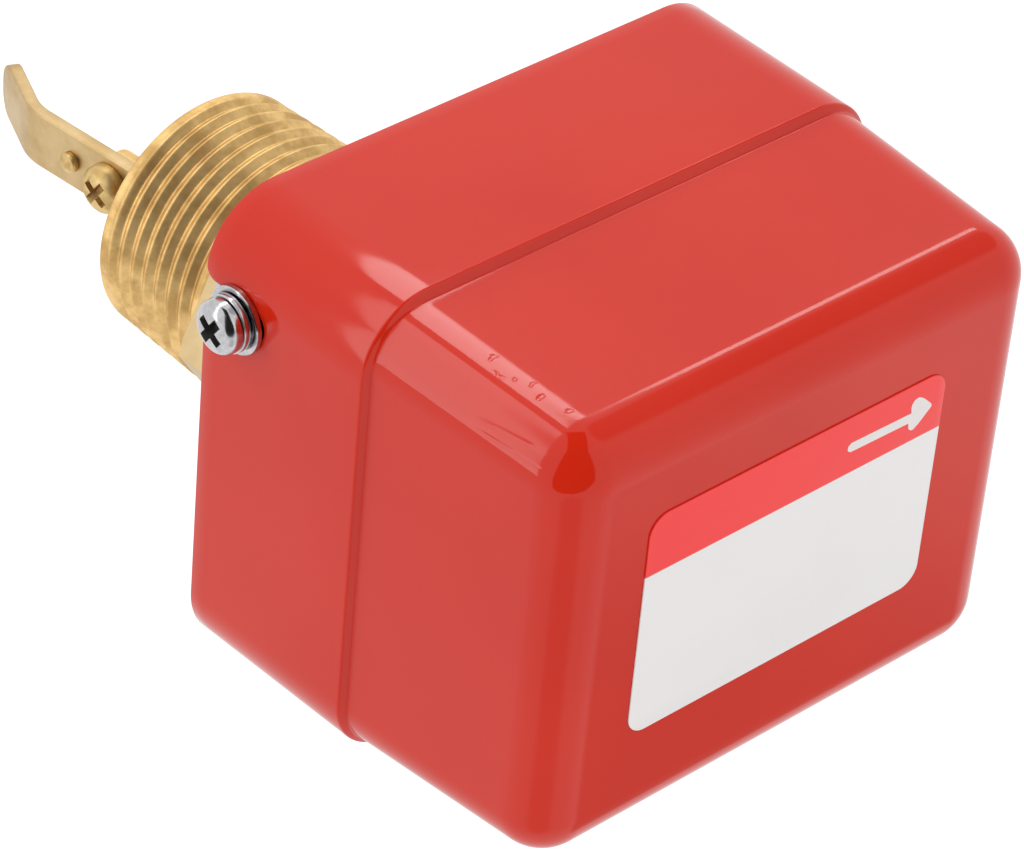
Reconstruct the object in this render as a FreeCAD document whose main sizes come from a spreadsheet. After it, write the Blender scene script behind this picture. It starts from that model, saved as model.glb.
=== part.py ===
"""Paddle flow switch, one inch size, as a parametric FreeCAD document.

The origin lies on the axis of the pipe thread, at the lower face of the hexagon. +Z points up from the
paddle to the cover, and the liquid flows along +X. All sizes are in millimetres.
"""
import FreeCAD, Part
import Sketcher
import math
import os
import re

Vector = FreeCAD.Vector
doc = FreeCAD.newDocument("paddle_flow_switch")

# ---------------------------------------------------------------- driving dimensions
sheet = doc.addObject("Spreadsheet::Sheet", "sheet")
SIZES = [
    # cover: drawn steel shell in two tiers
    ("cover_length", 79.1), ("cover_width", 64.7), ("cover_shift", 10.2), ("cover_wall", 1.0),
    ("rim_level", 15.6), ("skirt_height", 26.1), ("cover_height", 57.4), ("skirt_corner", 9.3),
    ("skirt_draft", 0.63), ("tier_inset", 1.1), ("tier_ramp", 0.7), ("tier_corner", 7.0),
    ("tier_draft", 2.94), ("face_edge", 6.2),
    ("slot_width", 4.4), ("slot_rise", 7.9), ("lock_place", 20.5), ("lock_rise", 6.5),
    ("conduit_rise", 13.5), ("conduit_notch", 11.0),
    # label
    ("label_length", 46.4), ("label_width", 30.9), ("label_corner", 2.6), ("label_sheet", 0.2),
    ("label_x", 9.0), ("label_y", 1.5),
    # base tray
    ("tray_length", 76.2), ("tray_width", 61.9), ("tray_corner", 8.2), ("tray_wall", 1.5),
    ("tray_side", 6.5), ("tray_ear", 14.5), ("tray_gable", 25.9),
    # brass fitting
    ("thread_radius", 16.62), ("thread_length", 19.6), ("thread_lead", 1.0),
    ("hex_flats", 34.5), ("hex_height", 12.0), ("hex_turn", 4.5),
    ("boss_radius", 15.5), ("seal_sheet", 0.5), ("spigot_radius", 12.5), ("spigot_rise", 6.0),
    ("bore_radius", 12.0), ("bore_top", 13.0), ("neck_radius", 8.4),
    ("nut_flats", 32.0), ("nut_height", 4.0),
    # pivot and bellows
    ("pivot_level", 5.0), ("rest_tilt", 5.0), ("pin_radius", 1.5), ("pin_gap", 0.06),
    ("sleeve_radius", 6.0), ("sleeve_bore", 4.6), ("sleeve_low", 2.4), ("sleeve_mouth", 6.2),
    ("head_radius", 11.8), ("head_height", 1.5),
    ("bellows_crest", 9.9), ("bellows_root", 7.1), ("bellows_wall", 0.25), ("bellows_waves", 6),
    # paddle rod
    ("rod_radius", 3.5), ("rod_top_radius", 2.5), ("rod_neck", 3.0), ("rod_foot_radius", 3.0),
    ("rod_top", 33.0), ("rod_foot", -32.8), ("rod_flat", 0.8), ("rod_flat_top", -20.5),
    ("collar_radius", 8.0), ("collar_level", -10.0), ("collar_height", 2.0),
    # paddle blade
    ("blade_width", 7.7), ("blade_gauge", 1.3), ("blade_top", -21.0), ("blade_bend", -42.8),
    ("bend_radius", 8.6), ("bend_angle", 28.0), ("blade_tail", 9.7), ("tip_corner_radius", 1.6),
    ("blade_screw_level", -30.4), ("blade_screw_radius", 1.7),
    ("small_screw_level", -36.9), ("small_screw_radius", 0.8),
    # lever plate
    ("lever_level", 27.0), ("lever_gauge", 1.5), ("lever_reach", 20.0), ("lever_back", 5.5),
    ("lever_half", 4.5), ("finger_start", 14.0), ("finger_reach", 18.5),
    # range spring, nut and screw
    ("range_x", 14.0), ("spring_low", 28.15), ("spring_high", 37.9), ("spring_mean", 3.4),
    ("spring_wire", 0.9), ("spring_turns", 5.5), ("range_nut_level", 38.0), ("range_nut_height", 4.0),
    ("range_nut_half", 5.0), ("range_screw_foot", 32.5), ("range_screw_radius", 2.0),
    # switch bracket and its screws
    ("shelf_level", 46.0), ("shelf_half", 7.0), ("bracket_gauge", 1.5), ("bracket_left", 26.0),
    ("bracket_right", 39.0), ("foot_reach", 8.0), ("foot_screw_left", 30.0), ("foot_screw_right", 36.0),
    ("foot_screw_y", -3.0), ("foot_screw_radius", 1.6),
    # snap switch
    ("case_left", -9.0), ("case_right", 40.0), ("case_near", 6.5), ("case_far", 24.0),
    ("case_low", 34.5), ("case_high", 57.5), ("bolt_left", 2.6), ("bolt_right", 28.0),
    ("bolt_level", 40.0), ("hinge_x", 38.0), ("hinge_level", 32.8), ("hinge_radius", 0.8),
    ("leaf_angle", 14.7), ("leaf_reach", 20.2), ("leaf_gauge", 0.5), ("leaf_width", 6.0),
    ("plunger_x", 33.0), ("plunger_radius", 1.6), ("plunger_low", 32.3), ("terminal_step", 4.0),
    ("terminal_gauge", 0.9), ("liner_sheet", 0.5),
    # conduit bush, earth screw and cover screws
    ("bush_bore", 8.0), ("bush_flange", 13.2), ("bush_seat", 8.4), ("bush_length", 12.2),
    ("bush_nut_height", 3.4), ("earth_x", 34.0), ("earth_y", -21.0),
    ("cover_screw_radius", 2.0), ("flat_washer_sheet", 0.8), ("spring_washer_sheet", 1.0),
]
for row, (alias, size) in enumerate(SIZES, start=1):
    sheet.set(f"A{row}", alias)
    sheet.set(f"B{row}", str(size))
    sheet.setAlias(f"B{row}", alias)
doc.recompute()
size = dict(SIZES)


def bound(formula):
    """Turns plain alias names in a formula into references to the sheet."""
    return re.sub(r"[a-z]\w*", lambda word: f"sheet.{word[0]}" if word[0] in size else word[0], str(formula))


def value(formula):
    """Works a formula out to a plain number."""
    answer = sheet.evalExpression(bound(str(formula)))
    return float(getattr(answer, "Value", answer))


# ---------------------------------------------------------------- sketch and feature helpers
def new_body(label):
    """Starts the PartDesign body of one sub-part."""
    return doc.addObject("PartDesign::Body", label)


def origin_plane(body, role):
    """Finds one of the body's own origin planes."""
    return next(item for item in body.Origin.OriginFeatures if item.Role == role)


def new_sketch(body, name, role="XY_Plane", level="0"):
    """Attaches a sketch to an origin plane, moved off it by a formula."""
    drawing = body.newObject("Sketcher::SketchObject", f"{body.Name}_{name}")
    drawing.AttachmentSupport = [(origin_plane(body, role), "")]
    drawing.MapMode = "FlatFace"
    drawing.setExpression("AttachmentOffset.Base.z", bound(level))
    return drawing


def place(drawing, edge, point, along_x, along_y):
    """Dimensions one point from the sketch's origin, both ways, by formulas."""
    for kind, formula in (("DistanceX", along_x), ("DistanceY", along_y)):
        index = drawing.addConstraint(Sketcher.Constraint(kind, -1, 1, edge, point, value(formula)))
        drawing.setExpression(f"Constraints[{index}]", bound(str(formula)))


def place_level(drawing, edge, point, along_y):
    """Dimensions one point's height above the sketch's origin by a formula."""
    index = drawing.addConstraint(Sketcher.Constraint("DistanceY", -1, 1, edge, point, value(along_y)))
    drawing.setExpression(f"Constraints[{index}]", bound(along_y))


def outline(drawing, corners):
    """Draws a closed outline of straight sides whose corners are formulas."""
    points = [Vector(value(x), value(y), 0) for x, y in corners]
    first = drawing.GeometryCount
    for start, end in zip(points, points[1:] + points[:1]):
        drawing.addGeometry(Part.LineSegment(start, end))
    count = len(points)
    for side in range(count):
        following = first + (side + 1) % count
        drawing.addConstraint(Sketcher.Constraint("Coincident", first + side, 2, following, 1))
    for side, (x, y) in enumerate(corners):
        place(drawing, first + side, 1, x, y)


def circle(drawing, radius, x="0", y="0"):
    """Draws a circle whose radius and centre are formulas."""
    centre = Vector(value(x), value(y), 0)
    edge = drawing.addGeometry(Part.Circle(centre, Vector(0, 0, 1), value(radius)))
    index = drawing.addConstraint(Sketcher.Constraint("Radius", edge, value(radius)))
    drawing.setExpression(f"Constraints[{index}]", bound(str(radius)))
    place(drawing, edge, 3, x, y)


def hexagon(drawing, flats, turn="0"):
    """Draws a hexagon about the sketch's origin, a corner at the turn angle."""
    corners = []
    for side in range(6):
        angle = f"({turn} + {60 * side}) * 1 deg"
        reach = f"({flats}) / (2 * cos(30 deg))"
        corners.append((f"{reach} * cos({angle})", f"{reach} * sin({angle})"))
    outline(drawing, corners)


def rounded_rectangle(drawing, length, width, corner, x="0", y="0"):
    """Draws a rectangle with round corners about a centre; all are formulas."""
    half_l, half_w, radius = value(length) / 2, value(width) / 2, value(corner)
    mid = Vector(value(x), value(y), 0)
    signs = ((1, 1), (-1, 1), (-1, -1), (1, -1))
    arcs = []
    for quarter, (sx, sy) in enumerate(signs):
        centre = mid + Vector(sx * (half_l - radius), sy * (half_w - radius), 0)
        start = math.pi / 2 * quarter
        round_part = Part.Circle(centre, Vector(0, 0, 1), radius)
        arcs.append(drawing.addGeometry(Part.ArcOfCircle(round_part, start, start + math.pi / 2)))
        place(drawing, arcs[-1], 3, f"{x} + {sx} * (({length}) / 2 - ({corner}))",
              f"{y} + {sy} * (({width}) / 2 - ({corner}))")
    for quarter in range(4):
        here, there = arcs[quarter], arcs[(quarter + 1) % 4]
        start = drawing.getPoint(here, 2)
        end = drawing.getPoint(there, 1)
        side = drawing.addGeometry(Part.LineSegment(start, end))
        drawing.addConstraint(Sketcher.Constraint("Tangent", here, 2, side, 1))
        drawing.addConstraint(Sketcher.Constraint("Tangent", side, 2, there, 1))
    for arc in arcs:
        index = drawing.addConstraint(Sketcher.Constraint("Radius", arc, radius))
        drawing.setExpression(f"Constraints[{index}]", bound(corner))


def arch(drawing, x, low, high, half):
    """Draws an upright slot, open below and round above; all are formulas."""
    cx, bottom, top, radius = value(x), value(low), value(high), value(half)
    foot_left, foot_right = Vector(cx - radius, bottom, 0), Vector(cx + radius, bottom, 0)
    crown = Part.ArcOfCircle(Part.Circle(Vector(cx, top, 0), Vector(0, 0, 1), radius), 0, math.pi)
    right, crown, left, floor = (drawing.addGeometry(side) for side in (
        Part.LineSegment(foot_right, Vector(cx + radius, top, 0)), crown,
        Part.LineSegment(Vector(cx - radius, top, 0), foot_left), Part.LineSegment(foot_left, foot_right)))
    for first, second in ((right, crown), (crown, left), (left, floor), (floor, right)):
        drawing.addConstraint(Sketcher.Constraint("Coincident", first, 2, second, 1))
    place(drawing, crown, 3, x, high)
    place(drawing, right, 1, f"({x}) + ({half})", low)
    place(drawing, left, 2, f"({x}) - ({half})", low)
    drawing.addConstraint(Sketcher.Constraint("Vertical", right))


def pad(body, drawing, length, midplane=False, reverse=False):
    """Pads a sketch by a formula."""
    feature = body.newObject("PartDesign::Pad", f"{drawing.Name}_pad")
    feature.Profile = drawing
    feature.setExpression("Length", bound(length))
    feature.Midplane = midplane
    feature.Reversed = reverse
    doc.recompute()
    return feature


def pocket(body, drawing, length, midplane=True, reverse=False):
    """Cuts a sketch out of the body and checks that it took material away."""
    before = body.Shape.Volume
    feature = body.newObject("PartDesign::Pocket", f"{drawing.Name}_pocket")
    feature.Profile = drawing
    feature.setExpression("Length", bound(length))
    feature.Midplane = midplane
    feature.Reversed = reverse
    doc.recompute()
    if not feature.Shape.Volume < before - 0.01:
        raise RuntimeError(f"{feature.Name} cut nothing")
    return feature


def revolve(body, drawing, axis="V_Axis"):
    """Turns a sketch about one of its axes."""
    feature = body.newObject("PartDesign::Revolution", f"{drawing.Name}_turn")
    feature.Profile = drawing
    feature.ReferenceAxis = (drawing, [axis])
    feature.Angle = 360
    doc.recompute()
    return feature


def turned(label, corners):
    """Makes a body by turning an outline of (radius, level) corners about Z."""
    body = new_body(label)
    drawing = new_sketch(body, "section", "XZ_Plane")
    outline(drawing, corners)
    revolve(body, drawing)
    return body


def edges_of(shape, wanted):
    """Names the edges of a shape that pass a test."""
    return [f"Edge{number}" for number, edge in enumerate(shape.Edges, start=1) if wanted(edge)]


def dress(body, kind, base, wanted, amount):
    """Rounds or bevels the edges that pass a test by a formula."""
    feature = body.newObject(f"PartDesign::{kind}", f"{base.Name}_{kind.lower()}")
    names = edges_of(base.Shape, wanted)
    if not names:
        raise RuntimeError(f"{feature.Name} found no edge")
    feature.Base = (base, names)
    feature.setExpression("Radius" if kind == "Fillet" else "Size", bound(amount))
    doc.recompute()
    return feature


def at_level(level, spread=0.01):
    """Makes the test for edges that lie in one horizontal plane."""
    height = value(level)

    def test(edge):
        box = edge.BoundBox
        return abs(box.ZMin - height) < spread and abs(box.ZMax - height) < spread
    return test


def upright(edge):
    """Tests for a straight upright edge."""
    box = edge.BoundBox
    return box.XLength < 0.01 and box.YLength < 0.01 and box.ZLength > 0.3


def lean(item):
    """Leans a sub-part of the paddle about the pivot into its place at rest, tip upstream."""
    item.Placement.Rotation = FreeCAD.Rotation(Vector(0, 1, 0), 1)
    item.setExpression("Placement.Rotation.Angle", bound("rest_tilt * 1 deg"))
    item.setExpression("Placement.Base.x", bound("- pivot_level * sin(rest_tilt * 1 deg)"))
    item.setExpression("Placement.Base.z", bound("pivot_level * (1 - cos(rest_tilt * 1 deg))"))
    return item


def set_at(item, x="0", y="0", z="0", axis=None, angle=0):
    """Puts a sub-part in its place, turned about an axis if one is given."""
    if axis is not None:
        item.Placement.Rotation = FreeCAD.Rotation(axis, angle)
    for way, formula in (("x", x), ("y", y), ("z", z)):
        item.setExpression(f"Placement.Base.{way}", bound(str(formula)))
    return item


def group(label, members):
    """Joins identical fasteners into one sub-part of separate solids."""
    compound = doc.addObject("Part::Compound", label)
    compound.Links = members
    return compound


def pan_screw(label, head_radius, head_height, shank_radius, shank_length):
    """Makes a domed screw on the Z axis, the head above the XY plane and the shank below."""
    body = turned(label, [
        ("0", f"- {shank_length}"), (f"{shank_radius} - 0.3", f"- {shank_length}"),
        (f"{shank_radius}", f"0.3 - {shank_length}"), (f"{shank_radius}", "0"),
        (f"{head_radius}", "0"), (f"{head_radius}", f"{head_height}"), ("0", f"{head_height}")])
    dress(body, "Fillet", body.Tip, at_level(str(head_height)), f"0.62 * {head_height}")
    return body


def ring(label, inner, outer, thickness):
    """Makes a flat washer on the Z axis, standing on the XY plane."""
    return turned(label, [(inner, "0"), (outer, "0"), (outer, thickness), (inner, thickness)])


def hex_nut(label, flats, bore, height, turn="0"):
    """Makes a hexagonal nut on the Z axis with bevelled corners."""
    body = new_body(label)
    profile = new_sketch(body, "hexagon")
    hexagon(profile, flats, turn)
    circle(profile, bore)
    block = pad(body, profile, height)
    return body, block


TO_LEFT = (Vector(0, 1, 0), -90)     # turns +Z to -X
TO_RIGHT = (Vector(0, 1, 0), 90)     # turns +Z to +X
TO_BACK = (Vector(1, 0, 0), -90)     # turns +Z to +Y


# ---------------------------------------------------------------- cover, drawn in two tiers
def tier_sections(wall):
    """Lists (level, length, width, corner) of the cover's sections, moved in by a wall."""
    skirt = "2 * skirt_height * tan(skirt_draft * 1 deg)"
    step = f"{skirt} + 2 * tier_inset"
    rise = "(cover_height - skirt_height - tier_ramp)"
    top = f"{step} + 2 * {rise} * tan(tier_draft * 1 deg)"
    return [
        ("rim_level", "0", f"skirt_corner - {wall}"),
        ("rim_level + skirt_height", skirt, f"skirt_corner - 0.3 - {wall}"),
        ("rim_level + skirt_height + tier_ramp", step, f"tier_corner - {wall}"),
        (f"rim_level + cover_height - {wall}", top, f"tier_corner - 0.4 - {wall}"),
    ]


def tier_loft(name, wall):
    """Lofts the two tiers as a solid body with its top edge rounded, moved in by a wall."""
    body = new_body(name)
    drawings = []
    for number, (level, shrink, corner) in enumerate(tier_sections(wall)):
        drawing = new_sketch(body, f"tier_{number}", "XY_Plane", level)
        rounded_rectangle(drawing, f"cover_length - 2 * {wall} - ({shrink})",
                          f"cover_width - 2 * {wall} - ({shrink})", corner, "cover_shift")
        drawings.append(drawing)
    loft = body.newObject("PartDesign::AdditiveLoft", f"{name}_loft")
    loft.Profile = drawings[-1]
    loft.Sections = drawings[-2::-1]
    loft.Ruled = True
    doc.recompute()
    dress(body, "Fillet", loft, at_level(f"rim_level + cover_height - {wall}"), f"face_edge - {wall}")
    return body


cover = tier_loft("cover", "0")
hollow = cover.newObject("PartDesign::Boolean", "cover_hollow")
hollow.Type = "Cut"
hollow.setObjects([tier_loft("cover_inside", "cover_wall")])
doc.recompute()
for name, end, place_y in (("slot_left", "cover_shift - cover_length / 2", "lock_place"),
                           ("slot_right", "cover_shift + cover_length / 2", "- lock_place")):
    slot = new_sketch(cover, name, "YZ_Plane", end)
    arch(slot, place_y, "rim_level - 1", "rim_level + slot_rise", "slot_width / 2")
    pocket(cover, slot, "6")
notch = new_sketch(cover, "notch", "YZ_Plane", "cover_shift + cover_length / 2")
arch(notch, "0", "rim_level - 1", "rim_level + conduit_rise", "conduit_notch")
pocket(cover, notch, "6")

label = new_body("label")
sticker = new_sketch(label, "outline", "XY_Plane", "rim_level + cover_height")
rounded_rectangle(sticker, "label_length", "label_width", "label_corner", "label_x", "label_y")
pad(label, sticker, "label_sheet")

# ---------------------------------------------------------------- base tray, folded sheet
LEFT_END = "(cover_shift - tray_length / 2)"
RIGHT_END = "(cover_shift + tray_length / 2)"

tray = new_body("base_tray")
floor_plan = new_sketch(tray, "floor", "XY_Plane", "rim_level")
rounded_rectangle(floor_plan, "tray_length", "tray_width", "tray_corner", "cover_shift")
circle(floor_plan, "spigot_radius + 0.1")
pad(tray, floor_plan, "tray_wall")
for name, end, low_y, high_y, rise, flip in (
        ("ear", LEFT_END, "lock_place - 9.5", "lock_place + 3.9", "tray_ear", False),
        ("gable", RIGHT_END, "- lock_place - 3.9", "15", "tray_gable", True)):
    upstand = new_sketch(tray, name, "YZ_Plane", end)
    outline(upstand, [(low_y, "rim_level"), (high_y, "rim_level"),
                      (high_y, f"rim_level + {rise}"), (low_y, f"rim_level + {rise}")])
    pad(tray, upstand, "tray_wall", reverse=flip)
for name, side, flip in (("side_near", "tray_width / 2", False), ("side_far", "- tray_width / 2", True)):
    upstand = new_sketch(tray, name, "XZ_Plane", side)
    outline(upstand, [(f"{LEFT_END} + tray_corner", "rim_level"),
                      (f"{RIGHT_END} - tray_corner", "rim_level"),
                      (f"{RIGHT_END} - tray_corner", "rim_level + tray_side"),
                      (f"{LEFT_END} + tray_corner", "rim_level + tray_side")])
    pad(tray, upstand, "tray_wall", reverse=not flip)
lock_holes = new_sketch(tray, "lock_holes", "YZ_Plane", LEFT_END)
circle(lock_holes, "2.2", "lock_place", "rim_level + lock_rise")
pocket(tray, lock_holes, "6")
gable_holes = new_sketch(tray, "gable_holes", "YZ_Plane", RIGHT_END)
circle(gable_holes, "2.2", "- lock_place", "rim_level + lock_rise")
circle(gable_holes, "conduit_notch - 0.5", "0", "rim_level + conduit_rise")
pocket(tray, gable_holes, "6")
floor_holes = new_sketch(tray, "floor_holes", "XY_Plane", "rim_level")
for hole_x, hole_y in (("foot_screw_left", "foot_screw_y"), ("foot_screw_right", "foot_screw_y"),
                       ("earth_x", "earth_y")):
    circle(floor_holes, "foot_screw_radius", hole_x, hole_y)
pocket(tray, floor_holes, "8")

# ---------------------------------------------------------------- brass fitting
FLOOR_TOP = "(rim_level + tray_wall)"
BOSS_TOP = "(rim_level - seal_sheet)"
SPIGOT_TOP = f"({FLOOR_TOP} + nut_height + 0.5)"

fitting = new_body("fitting_body")
section = new_sketch(fitting, "section", "XZ_Plane")
outline(section, [
    ("bore_radius", "- thread_length"), ("thread_radius - thread_lead", "- thread_length"),
    ("thread_radius", "thread_lead - thread_length"), ("thread_radius", "0"),
    ("boss_radius", "0"), ("boss_radius", BOSS_TOP), ("spigot_radius", BOSS_TOP),
    ("spigot_radius", SPIGOT_TOP), ("neck_radius", SPIGOT_TOP), ("neck_radius", "bore_top"),
    ("bore_radius", "bore_top")])
revolve(fitting, section)
flats = new_sketch(fitting, "hexagon")
hexagon(flats, "hex_flats", "180 + hex_turn")
circle(flats, "boss_radius - 1")
hexagon_block = pad(fitting, flats, "hex_height")

gasket = ring("body_gasket", "spigot_radius", "boss_radius", "seal_sheet")
set_at(gasket, z=BOSS_TOP)

lock_nut, lock_block = hex_nut("lock_nut", "nut_flats", "spigot_radius", "nut_height")
set_at(lock_nut, z=FLOOR_TOP)

# ---------------------------------------------------------------- pivot sleeve, pin and bellows
sleeve = turned("pivot_sleeve", [
    ("sleeve_bore", "sleeve_low"), ("sleeve_radius", "sleeve_low"), ("sleeve_radius", "bore_top"),
    ("neck_radius", "bore_top"), ("neck_radius", SPIGOT_TOP), ("head_radius", SPIGOT_TOP),
    ("head_radius", f"{SPIGOT_TOP} + head_height"), ("sleeve_mouth", f"{SPIGOT_TOP} + head_height"),
    ("sleeve_mouth", "bore_top + 2"), ("sleeve_bore", "bore_top - 1")])
cross = new_sketch(sleeve, "cross_hole", "XZ_Plane")
circle(cross, "pin_radius", "0", "pivot_level")
pocket(sleeve, cross, "30")

pin = doc.addObject("Part::Cylinder", "pivot_pin")
pin.setExpression("Radius", bound("pin_radius"))
pin.setExpression("Height", bound("2 * sleeve_radius - 0.2"))
set_at(pin, y="0.1 - sleeve_radius", z="pivot_level", axis=TO_BACK[0], angle=TO_BACK[1])


def bellows_path(part):
    """Gives the centre and the lean of the bent bellows at a part of its length, 0 at the top."""
    tilt = math.radians(size["rest_tilt"])
    foot_z = size["collar_level"] + 0.12
    top = (0.0, size["bore_top"])
    foot = (math.sin(tilt) * (foot_z - size["pivot_level"]),
            size["pivot_level"] + math.cos(tilt) * (foot_z - size["pivot_level"]))
    run = top[1] - foot[1]
    heading = (-run * math.sin(tilt), -run * math.cos(tilt))
    blend = (2 * part**3 - 3 * part**2 + 1, part**3 - 2 * part**2 + part,
             3 * part**2 - 2 * part**3, part**3 - part**2)
    x = blend[0] * top[0] + blend[2] * foot[0] + blend[3] * heading[0]
    z = blend[0] * top[1] - blend[1] * run + blend[2] * foot[1] + blend[3] * heading[1]
    return Vector(x, 0, z), tilt * part


def bellows_skin(wall):
    """Lofts the waves of the bellows along their bent path, moved in by a wall."""
    waves = int(size["bellows_waves"])
    stations = [(0.0, size["bellows_root"]), (0.06, size["bellows_root"])]
    for wave in range(waves):
        for step, radius in ((0.25, "bellows_crest"), (0.45, "bellows_crest"),
                             (0.75, "bellows_root"), (0.95, "bellows_root")):
            stations.append((0.06 + 0.88 * (wave + step) / waves, size[radius]))
    stations.append((1.0, size["bellows_root"]))
    rings = []
    for part, radius in stations:
        centre, turn = bellows_path(part)
        normal = Vector(math.sin(turn), 0, math.cos(turn))
        rings.append(Part.Wire(Part.makeCircle(radius - wall, centre, normal)))
    return Part.makeLoft(rings, True, True)


bellows = doc.addObject("Part::Feature", "bellows")
bellows.Shape = bellows_skin(0).cut(bellows_skin(size["bellows_wall"]))

# ---------------------------------------------------------------- paddle rod, blade and their screws
rod = turned("paddle_rod", [
    ("0", "rod_foot"), ("rod_foot_radius - 0.8", "rod_foot"), ("rod_foot_radius", "rod_foot + 0.8"),
    ("rod_foot_radius", "collar_level - collar_height"), ("collar_radius", "collar_level - collar_height"),
    ("collar_radius", "collar_level"), ("rod_neck", "collar_level"), ("rod_neck", "0"), ("rod_radius", "1"),
    ("rod_radius", "lever_level"), ("rod_top_radius", "lever_level"),
    ("rod_top_radius", "rod_top - 0.4"), ("rod_top_radius - 0.4", "rod_top"), ("0", "rod_top")])
pivot_hole = new_sketch(rod, "pivot_hole", "XZ_Plane")
circle(pivot_hole, "pin_radius + pin_gap", "0", "pivot_level")
pocket(rod, pivot_hole, "20")
flat = new_sketch(rod, "flat", "XZ_Plane")
outline(flat, [("- rod_flat", "rod_foot - 1"), ("- rod_flat", "rod_flat_top"),
               ("- rod_foot_radius - 1", "rod_flat_top"), ("- rod_foot_radius - 1", "rod_foot - 1")])
pocket(rod, flat, "20")
screw_hole = new_sketch(rod, "screw_hole", "YZ_Plane")
circle(screw_hole, "blade_screw_radius", "0", "blade_screw_level")
pocket(rod, screw_hole, "20")
lean(rod)

BLADE_FACE = "(rod_flat + blade_gauge)"
blade = new_body("paddle_blade")
strip = new_sketch(blade, "profile", "XZ_Plane")


def blade_profile(drawing):
    """Draws the blade's edge: straight, then a bend downstream, then a straight tail."""
    hub = f"(bend_radius - {BLADE_FACE})"

    def bend_end(radius, along):
        """Gives the place where the bend, or the tail after it, ends on one face."""
        return (f"{hub} - ({radius}) * cos(bend_angle * 1 deg) + {along} * sin(bend_angle * 1 deg)",
                f"blade_bend - ({radius}) * sin(bend_angle * 1 deg) - {along} * cos(bend_angle * 1 deg)")

    faces = {}
    for side, face, radius in (("front", f"- {BLADE_FACE}", "bend_radius"),
                               ("back", "- rod_flat", "bend_radius - blade_gauge")):
        corners = [(face, "blade_top"), (face, "blade_bend"),
                   bend_end(radius, "0"), bend_end(radius, "blade_tail")]
        top, start, end, tip = (Vector(value(x), value(y), 0) for x, y in corners)
        centre = Vector(value(hub), value("blade_bend"), 0)
        turn = Part.Circle(centre, Vector(0, 0, 1), value(radius))
        bend = Part.ArcOfCircle(turn, math.pi, math.pi + math.radians(value("bend_angle")))
        straight, bend, tail = (drawing.addGeometry(part) for part in (
            Part.LineSegment(top, start), bend, Part.LineSegment(end, tip)))
        drawing.addConstraint(Sketcher.Constraint("Coincident", straight, 2, bend, 1))
        drawing.addConstraint(Sketcher.Constraint("Coincident", bend, 2, tail, 1))
        place(drawing, straight, 1, *corners[0])
        place(drawing, straight, 2, *corners[1])
        place(drawing, bend, 3, hub, "blade_bend")
        place_level(drawing, tail, 1, corners[2][1])
        place(drawing, tail, 2, *corners[3])
        faces[side] = (straight, tail, top, tip)
    for ends, point in ((2, 1), (3, 2)):
        part = Part.LineSegment(faces["front"][ends], faces["back"][ends])
        side = drawing.addGeometry(part)
        for face, end in (("front", 1), ("back", 2)):
            edge = faces[face][0 if point == 1 else 1]
            drawing.addConstraint(Sketcher.Constraint("Coincident", side, end, edge, point))


blade_profile(strip)
pad(blade, strip, "blade_width", midplane=True)
blade_holes = new_sketch(blade, "holes", "YZ_Plane", f"- {BLADE_FACE}")
circle(blade_holes, "blade_screw_radius + 0.15", "0", "blade_screw_level")
circle(blade_holes, "small_screw_radius + 0.05", "0", "small_screw_level")
blade_cut = pocket(blade, blade_holes, "6")
tip_level = blade.Shape.BoundBox.ZMin


def tip_corner(edge):
    """Tests for the two short corner edges across the blade's end."""
    box = edge.BoundBox
    return box.YLength < 0.01 and box.ZMin < tip_level + 1.2 and edge.Length < 1.5


dress(blade, "Fillet", blade_cut, tip_corner, "tip_corner_radius")
lean(blade)

blade_screw = pan_screw("blade_screw", "3.2", "2.5", "blade_screw_radius", "5.4")
small_screw = pan_screw("small_screw", "1.35", "1.0", "small_screw_radius", "3.0")
small_nut, small_block = hex_nut("small_nut", "3.2", "small_screw_radius", "1.3")


def lean_across(item, level, reach):
    """Lays a fastener across the rod, head upstream, and leans it with the paddle."""
    item.Placement.Rotation = FreeCAD.Rotation(Vector(0, 1, 0), size["rest_tilt"] - 90)
    along = f"({level} - pivot_level)"
    item.setExpression("Placement.Base.x", bound(
        f"{along} * sin(rest_tilt * 1 deg) - ({reach}) * cos(rest_tilt * 1 deg)"))
    item.setExpression("Placement.Base.z", bound(
        f"pivot_level + {along} * cos(rest_tilt * 1 deg) + ({reach}) * sin(rest_tilt * 1 deg)"))


lean_across(blade_screw, "blade_screw_level", BLADE_FACE)
lean_across(small_screw, "small_screw_level", BLADE_FACE)
lean_across(small_nut, "small_screw_level", "rod_flat - 1.3")

# ---------------------------------------------------------------- lever plate on the rod
lever = new_body("lever_plate")
plan = new_sketch(lever, "plan", "XY_Plane", "lever_level")
outline(plan, [
    ("- lever_back", "- lever_half"), ("lever_reach", "- lever_half"), ("lever_reach", "finger_reach"),
    ("finger_start", "finger_reach"), ("finger_start", "lever_half"), ("- lever_back", "lever_half")])
circle(plan, "rod_top_radius")
lever_pad = pad(lever, plan, "lever_gauge")


def outer_corner(edge):
    """Tests for upright edges at the plate's corners, apart from the inner corner beside the finger."""
    box = edge.BoundBox
    inner = abs(box.XMin - size["finger_start"]) < 0.1 and abs(box.YMin - size["lever_half"]) < 0.1
    return upright(edge) and not inner


dress(lever, "Fillet", lever_pad, outer_corner, "1.5")
lean(lever)

rod_nut, rod_nut_block = hex_nut("rod_nut", "8", "rod_top_radius", "3.6")
rod_nut.Placement.Rotation = FreeCAD.Rotation(Vector(0, 1, 0), size["rest_tilt"])
NUT_RISE = "(lever_level + lever_gauge - pivot_level)"
rod_nut.setExpression("Placement.Base.x", bound(f"{NUT_RISE} * sin(rest_tilt * 1 deg)"))
rod_nut.setExpression("Placement.Base.z", bound(f"pivot_level + {NUT_RISE} * cos(rest_tilt * 1 deg)"))

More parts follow.
